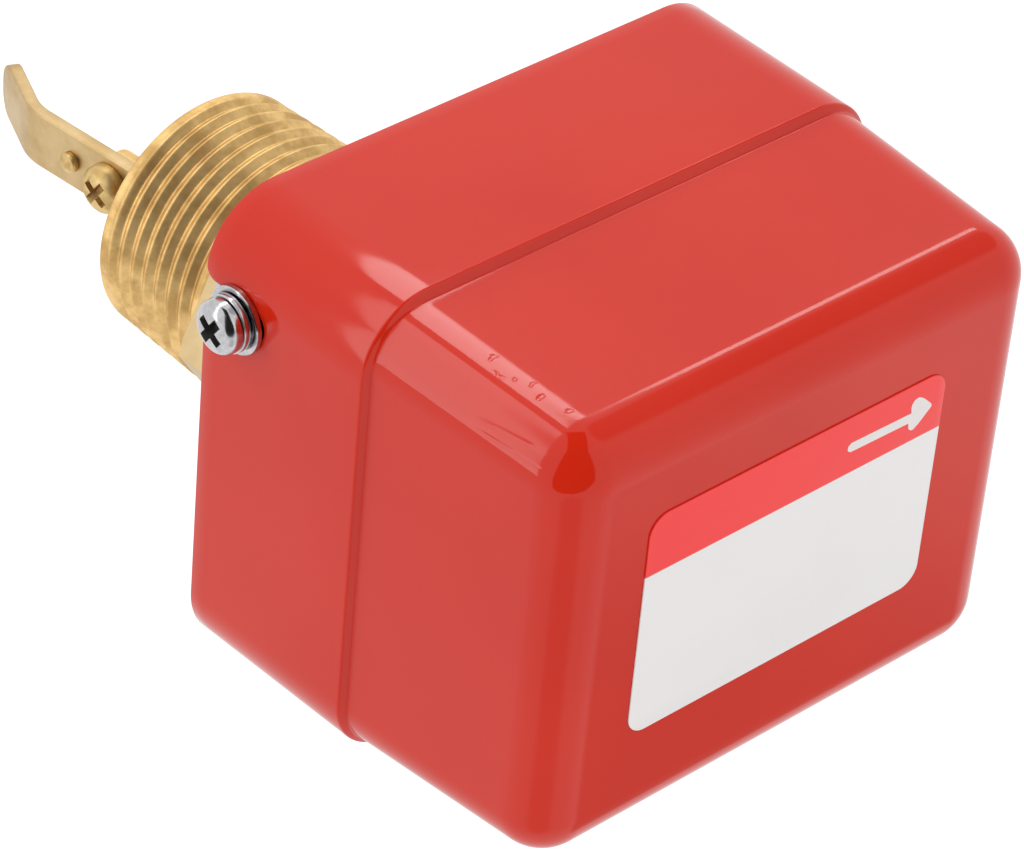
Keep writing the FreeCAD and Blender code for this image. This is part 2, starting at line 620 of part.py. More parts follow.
# ---------------------------------------------------------------- switch bracket, one folded sheet
BRACKET_FACE = "(case_near - 0.5)"
BRACKET_BACK = f"({BRACKET_FACE} - bracket_gauge)"
SHELF_TOP = "(shelf_level + bracket_gauge)"
bracket = new_body("switch_bracket")
wall = new_sketch(bracket, "wall", "XZ_Plane", f"- {BRACKET_FACE}")
outline(wall, [
    ("bracket_left", FLOOR_TOP), ("bracket_right", FLOOR_TOP), ("bracket_right", SHELF_TOP),
    ("0", SHELF_TOP), ("0", "case_low - 0.5"), ("bracket_left", "case_low - 0.5")])
pad(bracket, wall, "bracket_gauge")
for name, level, left, right, near in (
        ("foot", FLOOR_TOP, "bracket_left", "bracket_right", "- foot_reach"),
        ("shelf", "shelf_level", "range_x - shelf_half", "range_x + shelf_half", "- shelf_half")):
    flange = new_sketch(bracket, name, "XY_Plane", level)
    outline(flange, [(left, near), (right, near), (right, BRACKET_FACE), (left, BRACKET_FACE)])
    pad(bracket, flange, "bracket_gauge")
bolt_holes = new_sketch(bracket, "bolt_holes", "XZ_Plane", f"- {BRACKET_FACE}")
circle(bolt_holes, "2.0", "bolt_left", "bolt_level")
circle(bolt_holes, "2.0", "bolt_right", "bolt_level")
pocket(bracket, bolt_holes, "6")
foot_holes = new_sketch(bracket, "foot_holes", "XY_Plane", FLOOR_TOP)
for along in ("foot_screw_left", "foot_screw_right"):
    circle(foot_holes, "foot_screw_radius + 0.1", along, "foot_screw_y")
pocket(bracket, foot_holes, "6")
shelf_hole = new_sketch(bracket, "shelf_hole", "XY_Plane", "shelf_level")
circle(shelf_hole, "range_screw_radius + 0.1", "range_x")
pocket(bracket, shelf_hole, "6")

bracket_screws = []
for number, along in enumerate(("foot_screw_left", "foot_screw_right"), start=1):
    screw = pan_screw(f"bracket_screw_{number}", "2.8", "2.0", "foot_screw_radius", "3.0")
    bracket_screws.append(set_at(screw, x=along, y="foot_screw_y", z=f"{FLOOR_TOP} + bracket_gauge"))
group("bracket_screws", bracket_screws)

# ---------------------------------------------------------------- range screw, nut and spring
range_screw = turned("range_screw", [
    ("0", "range_screw_foot"), ("range_screw_radius - 0.3", "range_screw_foot"),
    ("range_screw_radius", "range_screw_foot + 0.3"), ("range_screw_radius", f"{SHELF_TOP} + 0.1"),
    ("3.5", f"{SHELF_TOP} + 0.1"), ("3.5", "shelf_level + 4.0"), ("3.1", "shelf_level + 4.4"),
    ("0", "shelf_level + 4.4")])
drive = new_sketch(range_screw, "slot", "XY_Plane", "shelf_level + 4.4")
outline(drive, [("-5", "-0.45"), ("5", "-0.45"), ("5", "0.45"), ("-5", "0.45")])
pocket(range_screw, drive, "2.4")
set_at(range_screw, x="range_x")

range_nut = new_body("range_nut")
block = new_sketch(range_nut, "block", "XY_Plane", "range_nut_level")
near, far = "-4.6", f"{BRACKET_BACK} - 0.3"
outline(block, [("- range_nut_half", near), ("range_nut_half", near),
                ("range_nut_half", far), ("- range_nut_half", far)])
circle(block, "range_screw_radius + 0.06")
range_block = pad(range_nut, block, "range_nut_height")
dress(range_nut, "Chamfer", range_block, upright, "0.8")
set_at(range_nut, x="range_x")

coil_rise = size["spring_high"] - size["spring_low"] - size["spring_wire"]
coil_low = size["spring_low"] + size["spring_wire"] / 2
helix = Part.makeHelix(coil_rise / size["spring_turns"], coil_rise, size["spring_mean"])
helix.translate(Vector(0, 0, coil_low))
wire_end = Part.Wire(Part.makeCircle(size["spring_wire"] / 2, Vector(size["spring_mean"], 0, coil_low),
                                     Vector(0, 1, 0)))
range_spring = doc.addObject("Part::Feature", "range_spring")
range_spring.Shape = Part.Wire(helix).makePipeShell([wire_end], True, True)
range_spring.Placement.Base = Vector(size["range_x"], 0, 0)

# ---------------------------------------------------------------- snap switch
MIDDLE = "((case_near + case_far) / 2)"
liner = new_body("insulating_sheet")
liner_face = new_sketch(liner, "face", "XZ_Plane", f"- {BRACKET_FACE}")
outline(liner_face, [("0", "case_low - 0.5"), ("bracket_right", "case_low - 0.5"),
                     ("bracket_right", "shelf_level + 6"), ("0", "shelf_level + 6")])
circle(liner_face, "2.1", "bolt_left", "bolt_level")
circle(liner_face, "2.1", "bolt_right", "bolt_level")
pad(liner, liner_face, "liner_sheet", reverse=True)

case = new_body("switch_case")
case_plan = new_sketch(case, "plan", "XY_Plane", "case_low")
outline(case_plan, [("case_left", "case_near"), ("case_right", "case_near"),
                    ("case_right", "case_far"), ("case_left", "case_far")])
case_block = pad(case, case_plan, "case_high - case_low")
case_round = dress(case, "Fillet", case_block, upright, "1.2")
LUG_FACE = f"{MIDDLE} - leaf_width / 2 - 2.3"
for name, near in (("lug_near", LUG_FACE), ("lug_far", f"{MIDDLE} + leaf_width / 2 + 0.3")):
    lug = new_sketch(case, name, "XZ_Plane", f"- ({near})")
    outline(lug, [("hinge_x - 2", "hinge_level - 2"), ("hinge_x + 1.9", "hinge_level - 2"),
                  ("hinge_x + 1.9", "case_low"), ("hinge_x - 2", "case_low")])
    pad(case, lug, "2", reverse=True)
case_holes = new_sketch(case, "bolt_holes", "XZ_Plane")
circle(case_holes, "2.1", "bolt_left", "bolt_level")
circle(case_holes, "2.1", "bolt_right", "bolt_level")
pocket(case, case_holes, "80")
hinge_hole = new_sketch(case, "hinge_hole", "XZ_Plane")
circle(hinge_hole, "hinge_radius", "hinge_x", "hinge_level")
pocket(case, hinge_hole, "80")
guide = new_sketch(case, "guide", "XY_Plane", "case_low")
circle(guide, "plunger_radius + 0.08", "plunger_x", MIDDLE)
pocket(case, guide, "8")
steps = new_sketch(case, "terminal_steps", "XZ_Plane")
low, high = "case_high - terminal_step", "case_high + 1"
for left, right in (("case_left - 1", "case_left + 10"), ("case_right - 10", "case_right + 1")):
    outline(steps, [(left, low), (right, low), (right, high), (left, high)])
pocket(case, steps, "80")

case_screws = []
for number, along in enumerate(("bolt_left", "bolt_right"), start=1):
    screw = pan_screw(f"switch_screw_{number}", "3.5", "2.4", "1.95", "19.4")
    case_screws.append(set_at(screw, x=along, y="case_far", z="bolt_level",
                              axis=TO_BACK[0], angle=TO_BACK[1]))
group("switch_screws", case_screws)

terminal_plates, terminal_heads = [], []
SEATS = (("case_left + 5", "case_high - terminal_step"), ("(case_left + case_right) / 2", "case_high"),
         ("case_right - 5", "case_high - terminal_step"))
for number, (along, level) in enumerate(SEATS, start=1):
    plate = new_body(f"terminal_{number}")
    shape = new_sketch(plate, "plan")
    rounded_rectangle(shape, "8.4", "11", "1")
    circle(shape, "1.8")
    pad(plate, shape, "terminal_gauge")
    terminal_plates.append(set_at(plate, x=along, y=MIDDLE, z=level))
    head = pan_screw(f"terminal_screw_{number}", "3.2", "2.2", "1.75", "0.8")
    terminal_heads.append(set_at(head, x=along, y=MIDDLE, z=f"{level} + terminal_gauge"))
group("terminals", terminal_plates)
group("terminal_screws", terminal_heads)

leaf_pin = doc.addObject("Part::Cylinder", "leaf_pin")
leaf_pin.setExpression("Radius", bound("hinge_radius"))
leaf_pin.setExpression("Height", bound("leaf_width + 4.6"))
set_at(leaf_pin, x="hinge_x", y=LUG_FACE, z="hinge_level", axis=TO_BACK[0], angle=TO_BACK[1])

leaf = new_body("switch_leaf")
leaf_edge = new_sketch(leaf, "profile", "XZ_Plane")
outline(leaf_edge, [
    ("- leaf_reach", "- leaf_gauge / 2"), ("-0.3", "- leaf_gauge / 2"), ("-0.3", "leaf_gauge / 2"),
    ("1.4 - leaf_reach", "leaf_gauge / 2"), ("0.3 - leaf_reach", "leaf_gauge / 2 + 1.1"),
    ("- leaf_reach - 0.1", "leaf_gauge / 2 + 0.8")])
pad(leaf, leaf_edge, "leaf_width", midplane=True)
knuckle = new_sketch(leaf, "knuckle", "XZ_Plane")
circle(knuckle, "1.35")
pad(leaf, knuckle, "leaf_width", midplane=True)
eye = new_sketch(leaf, "eye", "XZ_Plane")
circle(eye, "hinge_radius + 0.06")
pocket(leaf, eye, "leaf_width + 2")
leaf.Placement.Rotation = FreeCAD.Rotation(Vector(0, 1, 0), -size["leaf_angle"])
set_at(leaf, x="hinge_x", y=MIDDLE, z="hinge_level")

plunger = turned("switch_plunger", [
    ("0", "plunger_low"), ("plunger_radius - 0.5", "plunger_low"), ("plunger_radius", "plunger_low + 0.5"),
    ("plunger_radius", "case_low + 2.6"), ("0", "case_low + 2.6")])
set_at(plunger, x="plunger_x", y=MIDDLE)

# ---------------------------------------------------------------- conduit bush and its nut
bush = turned("conduit_bush", [
    ("bush_bore", "0"), ("conduit_notch - 0.5", "0"), ("conduit_notch - 0.5", "bush_seat"),
    ("bush_flange", "bush_seat"), ("bush_flange", "bush_length - 0.8"),
    ("bush_flange - 0.8", "bush_length"), ("bush_bore", "bush_length")])
AXLE = "rim_level + conduit_rise"
set_at(bush, x="cover_shift + cover_length / 2 + 0.1 - bush_seat", z=AXLE,
       axis=TO_RIGHT[0], angle=TO_RIGHT[1])
bush_nut, bush_block = hex_nut("bush_nut", "23", "conduit_notch - 0.5", "bush_nut_height", "30")
set_at(bush_nut, x=f"{RIGHT_END} - tray_wall - bush_nut_height", z=AXLE, axis=TO_RIGHT[0], angle=TO_RIGHT[1])

# ---------------------------------------------------------------- cover screws, washers and clinch nuts
screws, springs, washers, nuts = [], [], [], []
OUTSIDE = "(cover_length / 2 - lock_rise * tan(skirt_draft * 1 deg) + 0.05)"
for number, (sign, turn) in enumerate((("-1", TO_LEFT), ("1", TO_RIGHT)), start=1):
    across, up = f"-1 * {sign} * lock_place", "rim_level + lock_rise"

    def seat(item, out, store):
        """Lays a piece on the cover screw's axis at a distance outside the cover."""
        store.append(set_at(item, x=f"cover_shift + {sign} * ({OUTSIDE} + {out})", y=across, z=up,
                            axis=turn[0], angle=turn[1]))

    seat(ring(f"flat_washer_{number}", "2.1", "4.25", "flat_washer_sheet"), "0", washers)
    seat(ring(f"spring_washer_{number}", "2.1", "3.6", "spring_washer_sheet"), "flat_washer_sheet", springs)
    seat(pan_screw(f"cover_screw_{number}", "3.5", "2.7", "cover_screw_radius", "8.6"),
         "flat_washer_sheet + spring_washer_sheet", screws)
    nut, nut_block = hex_nut(f"clinch_nut_{number}", "7", "cover_screw_radius", "3.0")
    seat(nut, f"(tray_length / 2 - tray_wall - 3 - {OUTSIDE})", nuts)
group("cover_screws", screws)
group("spring_washers", springs)
group("flat_washers", washers)
group("clinch_nuts", nuts)

# ---------------------------------------------------------------- earth screw
earth_washer = ring("earth_washer", "1.7", "4.0", "0.8")
set_at(earth_washer, x="earth_x", y="earth_y", z=FLOOR_TOP)
earth_screw = pan_screw("earth_screw", "3.0", "2.2", "1.6", "2.3")
set_at(earth_screw, x="earth_x", y="earth_y", z=f"{FLOOR_TOP} + 0.8")

# ---------------------------------------------------------------- checks and export
doc.recompute()
NODES = [
    "cover", "label", "cover_screws", "spring_washers", "flat_washers", "clinch_nuts", "base_tray",
    "fitting_body", "body_gasket", "lock_nut", "pivot_sleeve", "pivot_pin", "bellows",
    "paddle_rod", "paddle_blade", "blade_screw", "small_screw", "small_nut", "lever_plate", "rod_nut",
    "switch_bracket", "bracket_screws", "range_screw", "range_nut", "range_spring",
    "insulating_sheet", "switch_case", "switch_screws", "terminals", "terminal_screws",
    "leaf_pin", "switch_leaf", "switch_plunger", "conduit_bush", "bush_nut", "earth_screw", "earth_washer",
]
for item in doc.Objects:
    if "Invalid" in item.State or "Error" in item.State:
        raise RuntimeError(f"{item.Name} failed: {item.State}")
os.makedirs("parts", exist_ok=True)
for name in NODES:
    piece = doc.getObject(name)
    piece.Label = name
    shape = piece.Shape
    if shape.isNull() or not shape.isValid() or not shape.Solids:
        raise RuntimeError(f"{name} has no sound shape")
    shape.exportStep(f"parts/{name}.step")
    box = shape.BoundBox
    spans = "  ".join(f"{axis} {getattr(box, axis + 'Min'):7.2f} {getattr(box, axis + 'Max'):7.2f}"
                      for axis in "XYZ")
    print(f"{name:18s} solids {len(shape.Solids)}  volume {shape.Volume:9.1f}  {spans}")
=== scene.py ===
# %% [markdown]
# # A paddle flow switch, dressed in Blender
# The switch screws into a pipe. Water pushes the brass paddle, the paddle rocks a lever under the red cover,
# and the lever works a snap switch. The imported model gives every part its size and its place, so this
# lesson only adds what the solids leave plain: the enamel, the pipe thread, the screws and the label.

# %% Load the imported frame
import math

import bmesh
import bpy
from mathutils import Matrix, Vector


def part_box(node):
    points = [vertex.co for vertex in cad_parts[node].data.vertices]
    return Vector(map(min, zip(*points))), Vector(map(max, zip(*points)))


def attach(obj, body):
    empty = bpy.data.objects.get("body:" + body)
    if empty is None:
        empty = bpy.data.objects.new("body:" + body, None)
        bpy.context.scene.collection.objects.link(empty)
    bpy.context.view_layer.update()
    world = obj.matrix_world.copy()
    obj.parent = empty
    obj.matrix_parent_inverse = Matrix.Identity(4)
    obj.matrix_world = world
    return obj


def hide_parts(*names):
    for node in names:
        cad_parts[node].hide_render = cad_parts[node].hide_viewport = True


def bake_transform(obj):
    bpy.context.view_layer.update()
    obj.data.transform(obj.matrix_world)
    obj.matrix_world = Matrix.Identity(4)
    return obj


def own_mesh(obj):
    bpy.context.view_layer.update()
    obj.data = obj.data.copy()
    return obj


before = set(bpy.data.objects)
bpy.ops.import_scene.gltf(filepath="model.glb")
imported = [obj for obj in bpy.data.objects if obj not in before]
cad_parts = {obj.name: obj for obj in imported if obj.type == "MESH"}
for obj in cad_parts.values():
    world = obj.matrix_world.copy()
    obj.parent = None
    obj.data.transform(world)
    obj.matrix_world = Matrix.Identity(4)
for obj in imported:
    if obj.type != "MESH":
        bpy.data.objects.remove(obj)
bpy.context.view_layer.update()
MM = 0.001
scene = bpy.context.scene
scene.view_settings.view_transform = "Standard"

# %% [markdown]
# ## The camera and the light
# A long lens keeps the box nearly square. The camera looks down on the cover from the paddle's side and is
# rolled, as when the switch lies on its flank. The world is an even pale tent.

# %% Aim the camera


def set_up(name, data):
    """Sets a lens, a lamp or a mesh in the scene as an object."""
    made = bpy.data.objects.new(name, data)
    scene.collection.objects.link(made)
    return made


LENS = 180.13                       # mm on a 36 mm wide sensor
STANCE = Vector((-337.91, 355.82, 368.27)) * MM
RIGHT = Vector((0.7376, 0.0757, 0.6709))
UP = Vector((0.3598, 0.7968, -0.4854))


def aim_camera():
    """Stands the camera so that its picture's right and up run along two given directions."""
    lens = bpy.data.cameras.new("camera")
    lens.lens, lens.sensor_width, lens.clip_start = LENS, 36, 0.01
    camera = set_up("camera", lens)
    right = RIGHT.normalized()
    up = (UP - UP.dot(right) * right).normalized()
    turn = Matrix((right, up, right.cross(up))).transposed()
    camera.matrix_world = Matrix.Translation(STANCE) @ turn.to_4x4()
    scene.camera = camera
    return camera


camera = aim_camera()
print("camera stands", round(camera.location.length / MM), "mm from the thread")

# %% Node helpers, used by the light, the finishes and the trees


def wire(tree, source, socket):
    """Feeds a socket from another socket, or sets its plain value."""
    if isinstance(source, bpy.types.NodeSocket):
        tree.links.new(source, socket)
    elif source is not None:
        socket.default_value = source


def maths(tree, operation, *terms):
    """Adds one step of arithmetic and returns its result."""
    step = tree.nodes.new("ShaderNodeMath")
    step.operation = operation
    for term, socket in zip(terms, step.inputs):
        wire(tree, term, socket)
    return step.outputs[0]


def add_node(tree, kind, **links):
    """Adds a node and feeds its inputs by name."""
    made = tree.nodes.new(kind)
    for name, source in links.items():
        wire(tree, source, made.inputs[name.replace("_", " ")])
    return made


def spread(tree, amount, low, high, to_low=0.0, to_high=1.0, smooth=True):
    """Maps one span of values to another, with soft ends."""
    span = add_node(tree, "ShaderNodeMapRange", Value=amount)
    span.interpolation_type = "SMOOTHSTEP" if smooth else "LINEAR"
    for name, number in (("From Min", low), ("From Max", high), ("To Min", to_low), ("To Max", to_high)):
        wire(tree, number, span.inputs[name])
    return span.outputs[0]


# %% Hang the pale tent and the floor
TENT_LEVEL = 0.90                   # how brightly the tent lights the switch
FLOOR_DROP, FLOOR_REACH = 0.55, 3.0     # metres from the thread down to the floor, and to its edge


def seen_directly(tree):
    """Gives 1 for what the lens sees, straight, in a gloss or through glass."""
    path = tree.nodes.new("ShaderNodeLightPath")
    seen = maths(tree, "MAXIMUM", path.outputs["Is Camera Ray"], path.outputs["Is Glossy Ray"])
    return maths(tree, "MAXIMUM", seen, path.outputs["Is Transmission Ray"])


def hang_tent():
    """Makes the world: white to look at, a little softer as a light."""
    world = bpy.data.worlds.new("tent")
    scene.world = world
    world.use_nodes = True
    tree = world.node_tree
    sky = tree.nodes["Background"]
    level = maths(tree, "MULTIPLY_ADD", seen_directly(tree), 1.0 - TENT_LEVEL, TENT_LEVEL)
    wire(tree, level, sky.inputs["Strength"])
    sky.inputs["Color"].default_value = (1, 1, 1, 1)


def flat_sheet(name, rim, level, finish_name):
    """Makes a flat sheet inside a rim, with a finish that has no shader yet."""
    mesh = bpy.data.meshes.new(name)
    mesh.from_pydata([(x, y, level) for x, y in rim], [], [tuple(range(len(rim)))])
    finish = bpy.data.materials.new(finish_name)
    finish.use_nodes = True
    finish.node_tree.nodes.remove(finish.node_tree.nodes["Principled BSDF"])
    mesh.materials.append(finish)
    return set_up(name, mesh), finish.node_tree


def lay_floor():
    """Lays a pale floor far under the switch. It takes a shadow, and a gloss sees it plain white."""
    rim = [(x * FLOOR_REACH, y * FLOOR_REACH) for x, y in ((-1, -1), (1, -1), (1, 1), (-1, 1))]
    floor, tree = flat_sheet("floor", rim, -FLOOR_DROP, "floor_paper")
    path = tree.nodes.new("ShaderNodeLightPath").outputs
    matt = add_node(tree, "ShaderNodeBsdfDiffuse", Color=(0.85, 0.85, 0.85, 1))
    glow = add_node(tree, "ShaderNodeEmission", Strength=maths(tree, "MULTIPLY", path["Is Camera Ray"], 0.4))
    both = tree.nodes.new("ShaderNodeAddShader")
    tree.links.new(matt.outputs[0], both.inputs[0])
    tree.links.new(glow.outputs[0], both.inputs[1])
    plain = add_node(tree, "ShaderNodeEmission", Strength=1.0)
    choice = add_node(tree, "ShaderNodeMixShader", Fac=maths(
        tree, "MAXIMUM", path["Is Glossy Ray"], path["Is Transmission Ray"]))
    tree.links.new(both.outputs[0], choice.inputs[1])
    tree.links.new(plain.outputs[0], choice.inputs[2])
    tree.links.new(choice.outputs[0], tree.nodes["Material Output"].inputs["Surface"])


hang_tent()
lay_floor()
print("tent and floor are up")

# %% [markdown]
# ## What the gloss sees
# Enamel shows its form by what it mirrors. Four soft boxes draw the bright bands along the upright corners and
# the edge of the face, and four dark cards darken the near corner and the ends of the faces. The cards are
# seen in a gloss only, so they take no light away.

# %% Place the soft boxes
BOX_LEVEL, FILL_LEVEL = 4.6, 2.2
FILL_REACH, FILL_DROP = 0.75, Vector((0, 0, -0.350))


def soft_box(name, stand, toward, width, height, brightness, roll=0.0):
    """Hangs a soft box at a place in metres; it shines toward a direction with an even brightness."""
    lamp = bpy.data.lights.new(name, "AREA")
    lamp.shape, lamp.size, lamp.size_y = "RECTANGLE", width, height
    lamp.energy = brightness * math.pi * width * height
    box = set_up(name, lamp)
    box.location = stand
    facing = (-Vector(toward)).to_track_quat("Z", "Y")
    turn = facing @ Matrix.Rotation(math.radians(roll), 3, "Z").to_quaternion()
    box.rotation_euler = turn.to_euler()
    box.visible_camera = False
    return box


soft_box("key_box", (0.272, 0.70, -0.391), (0, -1, 0), 0.565, 0.13, BOX_LEVEL, roll=12.6)
soft_box("edge_box", (0.665, 0.70, -0.345), (0, -1, 0), 0.20, 0.08, BOX_LEVEL)
for number, angle in enumerate((124, 168.5)):
    way = Vector((math.cos(math.radians(angle)), math.sin(math.radians(angle)), 0))
    soft_box(f"fill_box_{number}", way * FILL_REACH + FILL_DROP, -way, 0.61, 0.12, FILL_LEVEL)
print("soft boxes:", [lamp.name for lamp in bpy.data.lights])

# %% Hang the dark cards
CENTRE = Vector((10, 0, 40)) * MM


def dark_card(name, toward, rim, level, fade=None):
    """Hangs a card that only a gloss can see, square to the lens; one with a fade faces the switch
    and turns white between two distances from its middle."""
    card, tree = flat_sheet(name, rim, 0, name)
    way = Vector(toward)
    turn = (Matrix((RIGHT, UP, RIGHT.cross(UP))).transposed() if fade is None
            else way.to_track_quat("Z", "Y").to_matrix())
    card.matrix_world = Matrix.Translation(CENTRE + way) @ turn.to_4x4()
    card.visible_camera = card.visible_diffuse = card.visible_transmission = card.visible_shadow = False
    glow = level
    if fade is not None:
        spot = tree.nodes.new("ShaderNodeVectorMath")
        spot.operation = "LENGTH"
        tree.links.new(tree.nodes.new("ShaderNodeTexCoord").outputs["Object"], spot.inputs[0])
        glow = spread(tree, spot.outputs["Value"], *fade, level, 1.0)
    tree.links.new(add_node(tree, "ShaderNodeEmission", Strength=glow).outputs[0],
                   tree.nodes["Material Output"].inputs["Surface"])


def disc(reach, steps=48):
    """Lists the rim of a round card."""
    turns = [math.tau * step / steps for step in range(steps)]
    return [(reach * math.cos(turn), reach * math.sin(turn)) for turn in turns]


BELL = [(0.11, 0.12), (0.15, 0.60), (-0.18, 0.60), (-0.11, 0.28), (-0.095, 0.13), (-0.19, -0.02),
        (-0.30, -0.18), (-0.37, -0.32), (-0.27, -0.40), (-0.03, -0.37), (0.13, -0.30), (0.23, -0.20),
        (0.18, -0.03)]
dark_card("card_by_the_lens", (-0.171, 0.180, 0.168), BELL, 0.02)
dark_card("card_beside_the_edge", (0.266, 0.356, 0.045), disc(0.19), 0.45, (0.12, 0.19))
dark_card("card_beside_the_end", (-0.252, -0.270, 0.256), disc(0.18), 0.65, (0.09, 0.18))
dark_card("card_below_the_label", (0.225, -0.324, 0.216), disc(0.13), 0.42, (0.05, 0.13))

# %% [markdown]
# ## Finishes
# Every finish is a set of nodes on Object coordinates, which are metres in the frame of the switch, so a
# grain keeps its real size. Most of them are one base shader with a slow stain, a fine grain in the gloss
# and a little relief, and each is named for what it covers.

# %% Helpers for the finishes


def finish_of(name, colour, **sockets):
    """Starts a finish with its plain values on the shader's own sockets."""
    finish = bpy.data.materials.new(name)
    finish.use_nodes = True
    finish.diffuse_color = (*colour, 1)
    tree = finish.node_tree
    shader = tree.nodes["Principled BSDF"]
    for socket, amount in sockets.items():
        shader.inputs[socket.replace("_", " ")].default_value = amount
    return finish, tree, shader


def in_place(tree, stretch=(1, 1, 1)):
    """Gives the place on the switch in metres, squeezed along each axis."""
    where = tree.nodes.new("ShaderNodeTexCoord").outputs["Object"]
    return add_node(tree, "ShaderNodeMapping", Vector=where, Scale=stretch).outputs[0]


def cloud(tree, where, grain, detail=3.0, rough=0.5):
    """Gives a soft random pattern from 0 to 1 whose grain is in millimetres."""
    noise = add_node(tree, "ShaderNodeTexNoise", Vector=where, Scale=1.0 / (grain * MM), Detail=detail,
                     Roughness=rough)
    return noise.outputs[0]


def tint(tree, amount, first, second):
    """Mixes two colours."""
    mixer = tree.nodes.new("ShaderNodeMix")
    mixer.data_type = "RGBA"
    wire(tree, amount, mixer.inputs[0])
    wire(tree, (*first, 1) if isinstance(first, tuple) else first, mixer.inputs[6])
    wire(tree, (*second, 1) if isinstance(second, tuple) else second, mixer.inputs[7])
    return mixer.outputs[2]


def relief(tree, shader, height, depth, onto=None):
    """Raises and sinks the surface by a pattern; depth is in millimetres."""
    bump = add_node(tree, "ShaderNodeBump", Height=height, Strength=1.0, Distance=depth * MM)
    if onto is not None:
        tree.links.new(onto, bump.inputs["Normal"])
    tree.links.new(bump.outputs[0], shader.inputs["Normal"])
    return bump.outputs[0]


# %% Metal finishes


def metal(name, dark, light, rough, grain, stretch=(1, 1, 1), depth=0.004, stain=9.0):
    """Makes a metal with a slow stain and a fine grain that may run one way."""
    finish, tree, shader = finish_of(name, light, Metallic=1.0)
    slow = spread(tree, cloud(tree, in_place(tree), stain, 4.0, 0.6), 0.32, 0.68)
    fine = cloud(tree, in_place(tree, stretch), grain, 2.0)
    tree.links.new(tint(tree, slow, dark, light), shader.inputs["Base Color"])
    gloss = maths(tree, "ADD", maths(tree, "MULTIPLY", fine, 0.14), maths(tree, "MULTIPLY", slow, -0.05))
    tree.links.new(maths(tree, "ADD", gloss, rough), shader.inputs["Roughness"])
    relief(tree, shader, fine, depth)
    return finish


turned_brass = metal("turned_brass", (0.66, 0.41, 0.15), (0.98, 0.68, 0.29), 0.44, 0.5,
                     (0.15, 0.15, 4.0), stain=4.0)
milled_brass = metal("milled_brass", (0.61, 0.44, 0.225), (0.70, 0.53, 0.29), 0.38, 0.5, (3.0, 3.0, 0.3))
rolled_brass = metal("rolled_brass", (0.58, 0.40, 0.18), (0.70, 0.51, 0.27), 0.34, 0.4, (1, 1, 0.2), 0.002, 6.0)
bright_plate = metal("bright_plate", (0.50, 0.50, 0.51), (0.64, 0.64, 0.66), 0.12, 0.35, depth=0.003, stain=1.2)
screw_brass = metal("screw_brass", (0.60, 0.40, 0.15), (0.84, 0.62, 0.29), 0.42, 0.4, depth=0.002, stain=1.6)
# a darker brass for the faces cut inside the paddle screw's cross: painted shade in the recess
stained_brass = metal("stained_brass", (0.42, 0.25, 0.09), (0.66, 0.43, 0.17), 0.50, 0.4,
                      depth=0.002, stain=1.0)
zinc_sheet = metal("zinc_sheet", (0.50, 0.51, 0.53), (0.66, 0.67, 0.69), 0.30, 0.8, depth=0.003, stain=3.0)
spring_steel = metal("spring_steel", (0.40, 0.41, 0.43), (0.56, 0.57, 0.59), 0.24, 0.3, (0.2, 2, 2))
bellows_bronze = metal("bellows_bronze", (0.56, 0.34, 0.15), (0.74, 0.50, 0.26), 0.28, 0.4, (1, 1, 3))
print("brass for turned, milled and rolled pieces; plate for the screws;", zinc_sheet.name, "for the tray")

# %% Moulded and sheet finishes


def moulding(name, dark, light, rough, grain, depth=0.01, **sockets):
    """Makes a moulded or sheet stuff with a fine skin."""
    finish, tree, shader = finish_of(name, light, **sockets)
    slow = cloud(tree, in_place(tree), 14 * grain, 3.0)
    fine = cloud(tree, in_place(tree), grain, 3.0)
    tree.links.new(tint(tree, slow, dark, light), shader.inputs["Base Color"])
    tree.links.new(maths(tree, "MULTIPLY_ADD", fine, 0.15, rough), shader.inputs["Roughness"])
    relief(tree, shader, fine, depth)
    return finish


gasket_rubber = moulding("gasket_rubber", (0.015, 0.015, 0.016), (0.035, 0.035, 0.036), 0.62, 0.3)
brown_phenolic = moulding("brown_phenolic", (0.035, 0.022, 0.016), (0.075, 0.045, 0.030), 0.30, 0.5, 0.006)
fibre_sheet = moulding("fibre_sheet", (0.30, 0.24, 0.14), (0.50, 0.42, 0.28), 0.55, 0.25, 0.02)
black_nylon = moulding("black_nylon", (0.012, 0.012, 0.013), (0.030, 0.030, 0.032), 0.36, 0.4, 0.01)
# a near-black finish for the faces cut inside the cover screws' cross recess: painted shade in the hollow
grimy_recess = moulding("grimy_recess", (0.008, 0.007, 0.006), (0.035, 0.030, 0.026), 0.55, 0.3)
red_button = moulding("red_button", (0.50, 0.06, 0.04), (0.66, 0.11, 0.06), 0.25, 0.4, 0.004)
print("mouldings:", [finish.name for finish in (
    gasket_rubber, brown_phenolic, fibre_sheet, black_nylon, grimy_recess, red_button)])

# %% [markdown]
# ## The red enamel
# The cover is sprayed after drawing. The coat is thick and glossy, it has a faint orange peel, and the
# upright corner of the upper tier shows short dents and long streaks where the sheet wrinkled in the press.
# Each mark is placed by its turn round that corner's axis and by its level.

# %% Mix the enamel
cover_low, cover_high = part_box("cover")
CORNER_AXIS = (cover_low.x + 8.45 * MM, cover_high.y - 8.45 * MM)
CORNER_RADIUS = 7.0
DENTS = [(92, 53.5, 0.9, 0.35), (104, 56.0, 0.35, 1.0), (98, 57.8, 0.5, 0.3), (88, 59.5, 0.8, 0.3),
         (94, 61.5, 0.9, 0.35), (86, 65.0, 0.7, 0.35)]          # turn in degrees, level and half sizes in mm
STREAKS = [(154, 57.0, 144, 65.5, 0.55), (164, 56.5, 160, 67.5, 0.40)]        # two ends and a half width


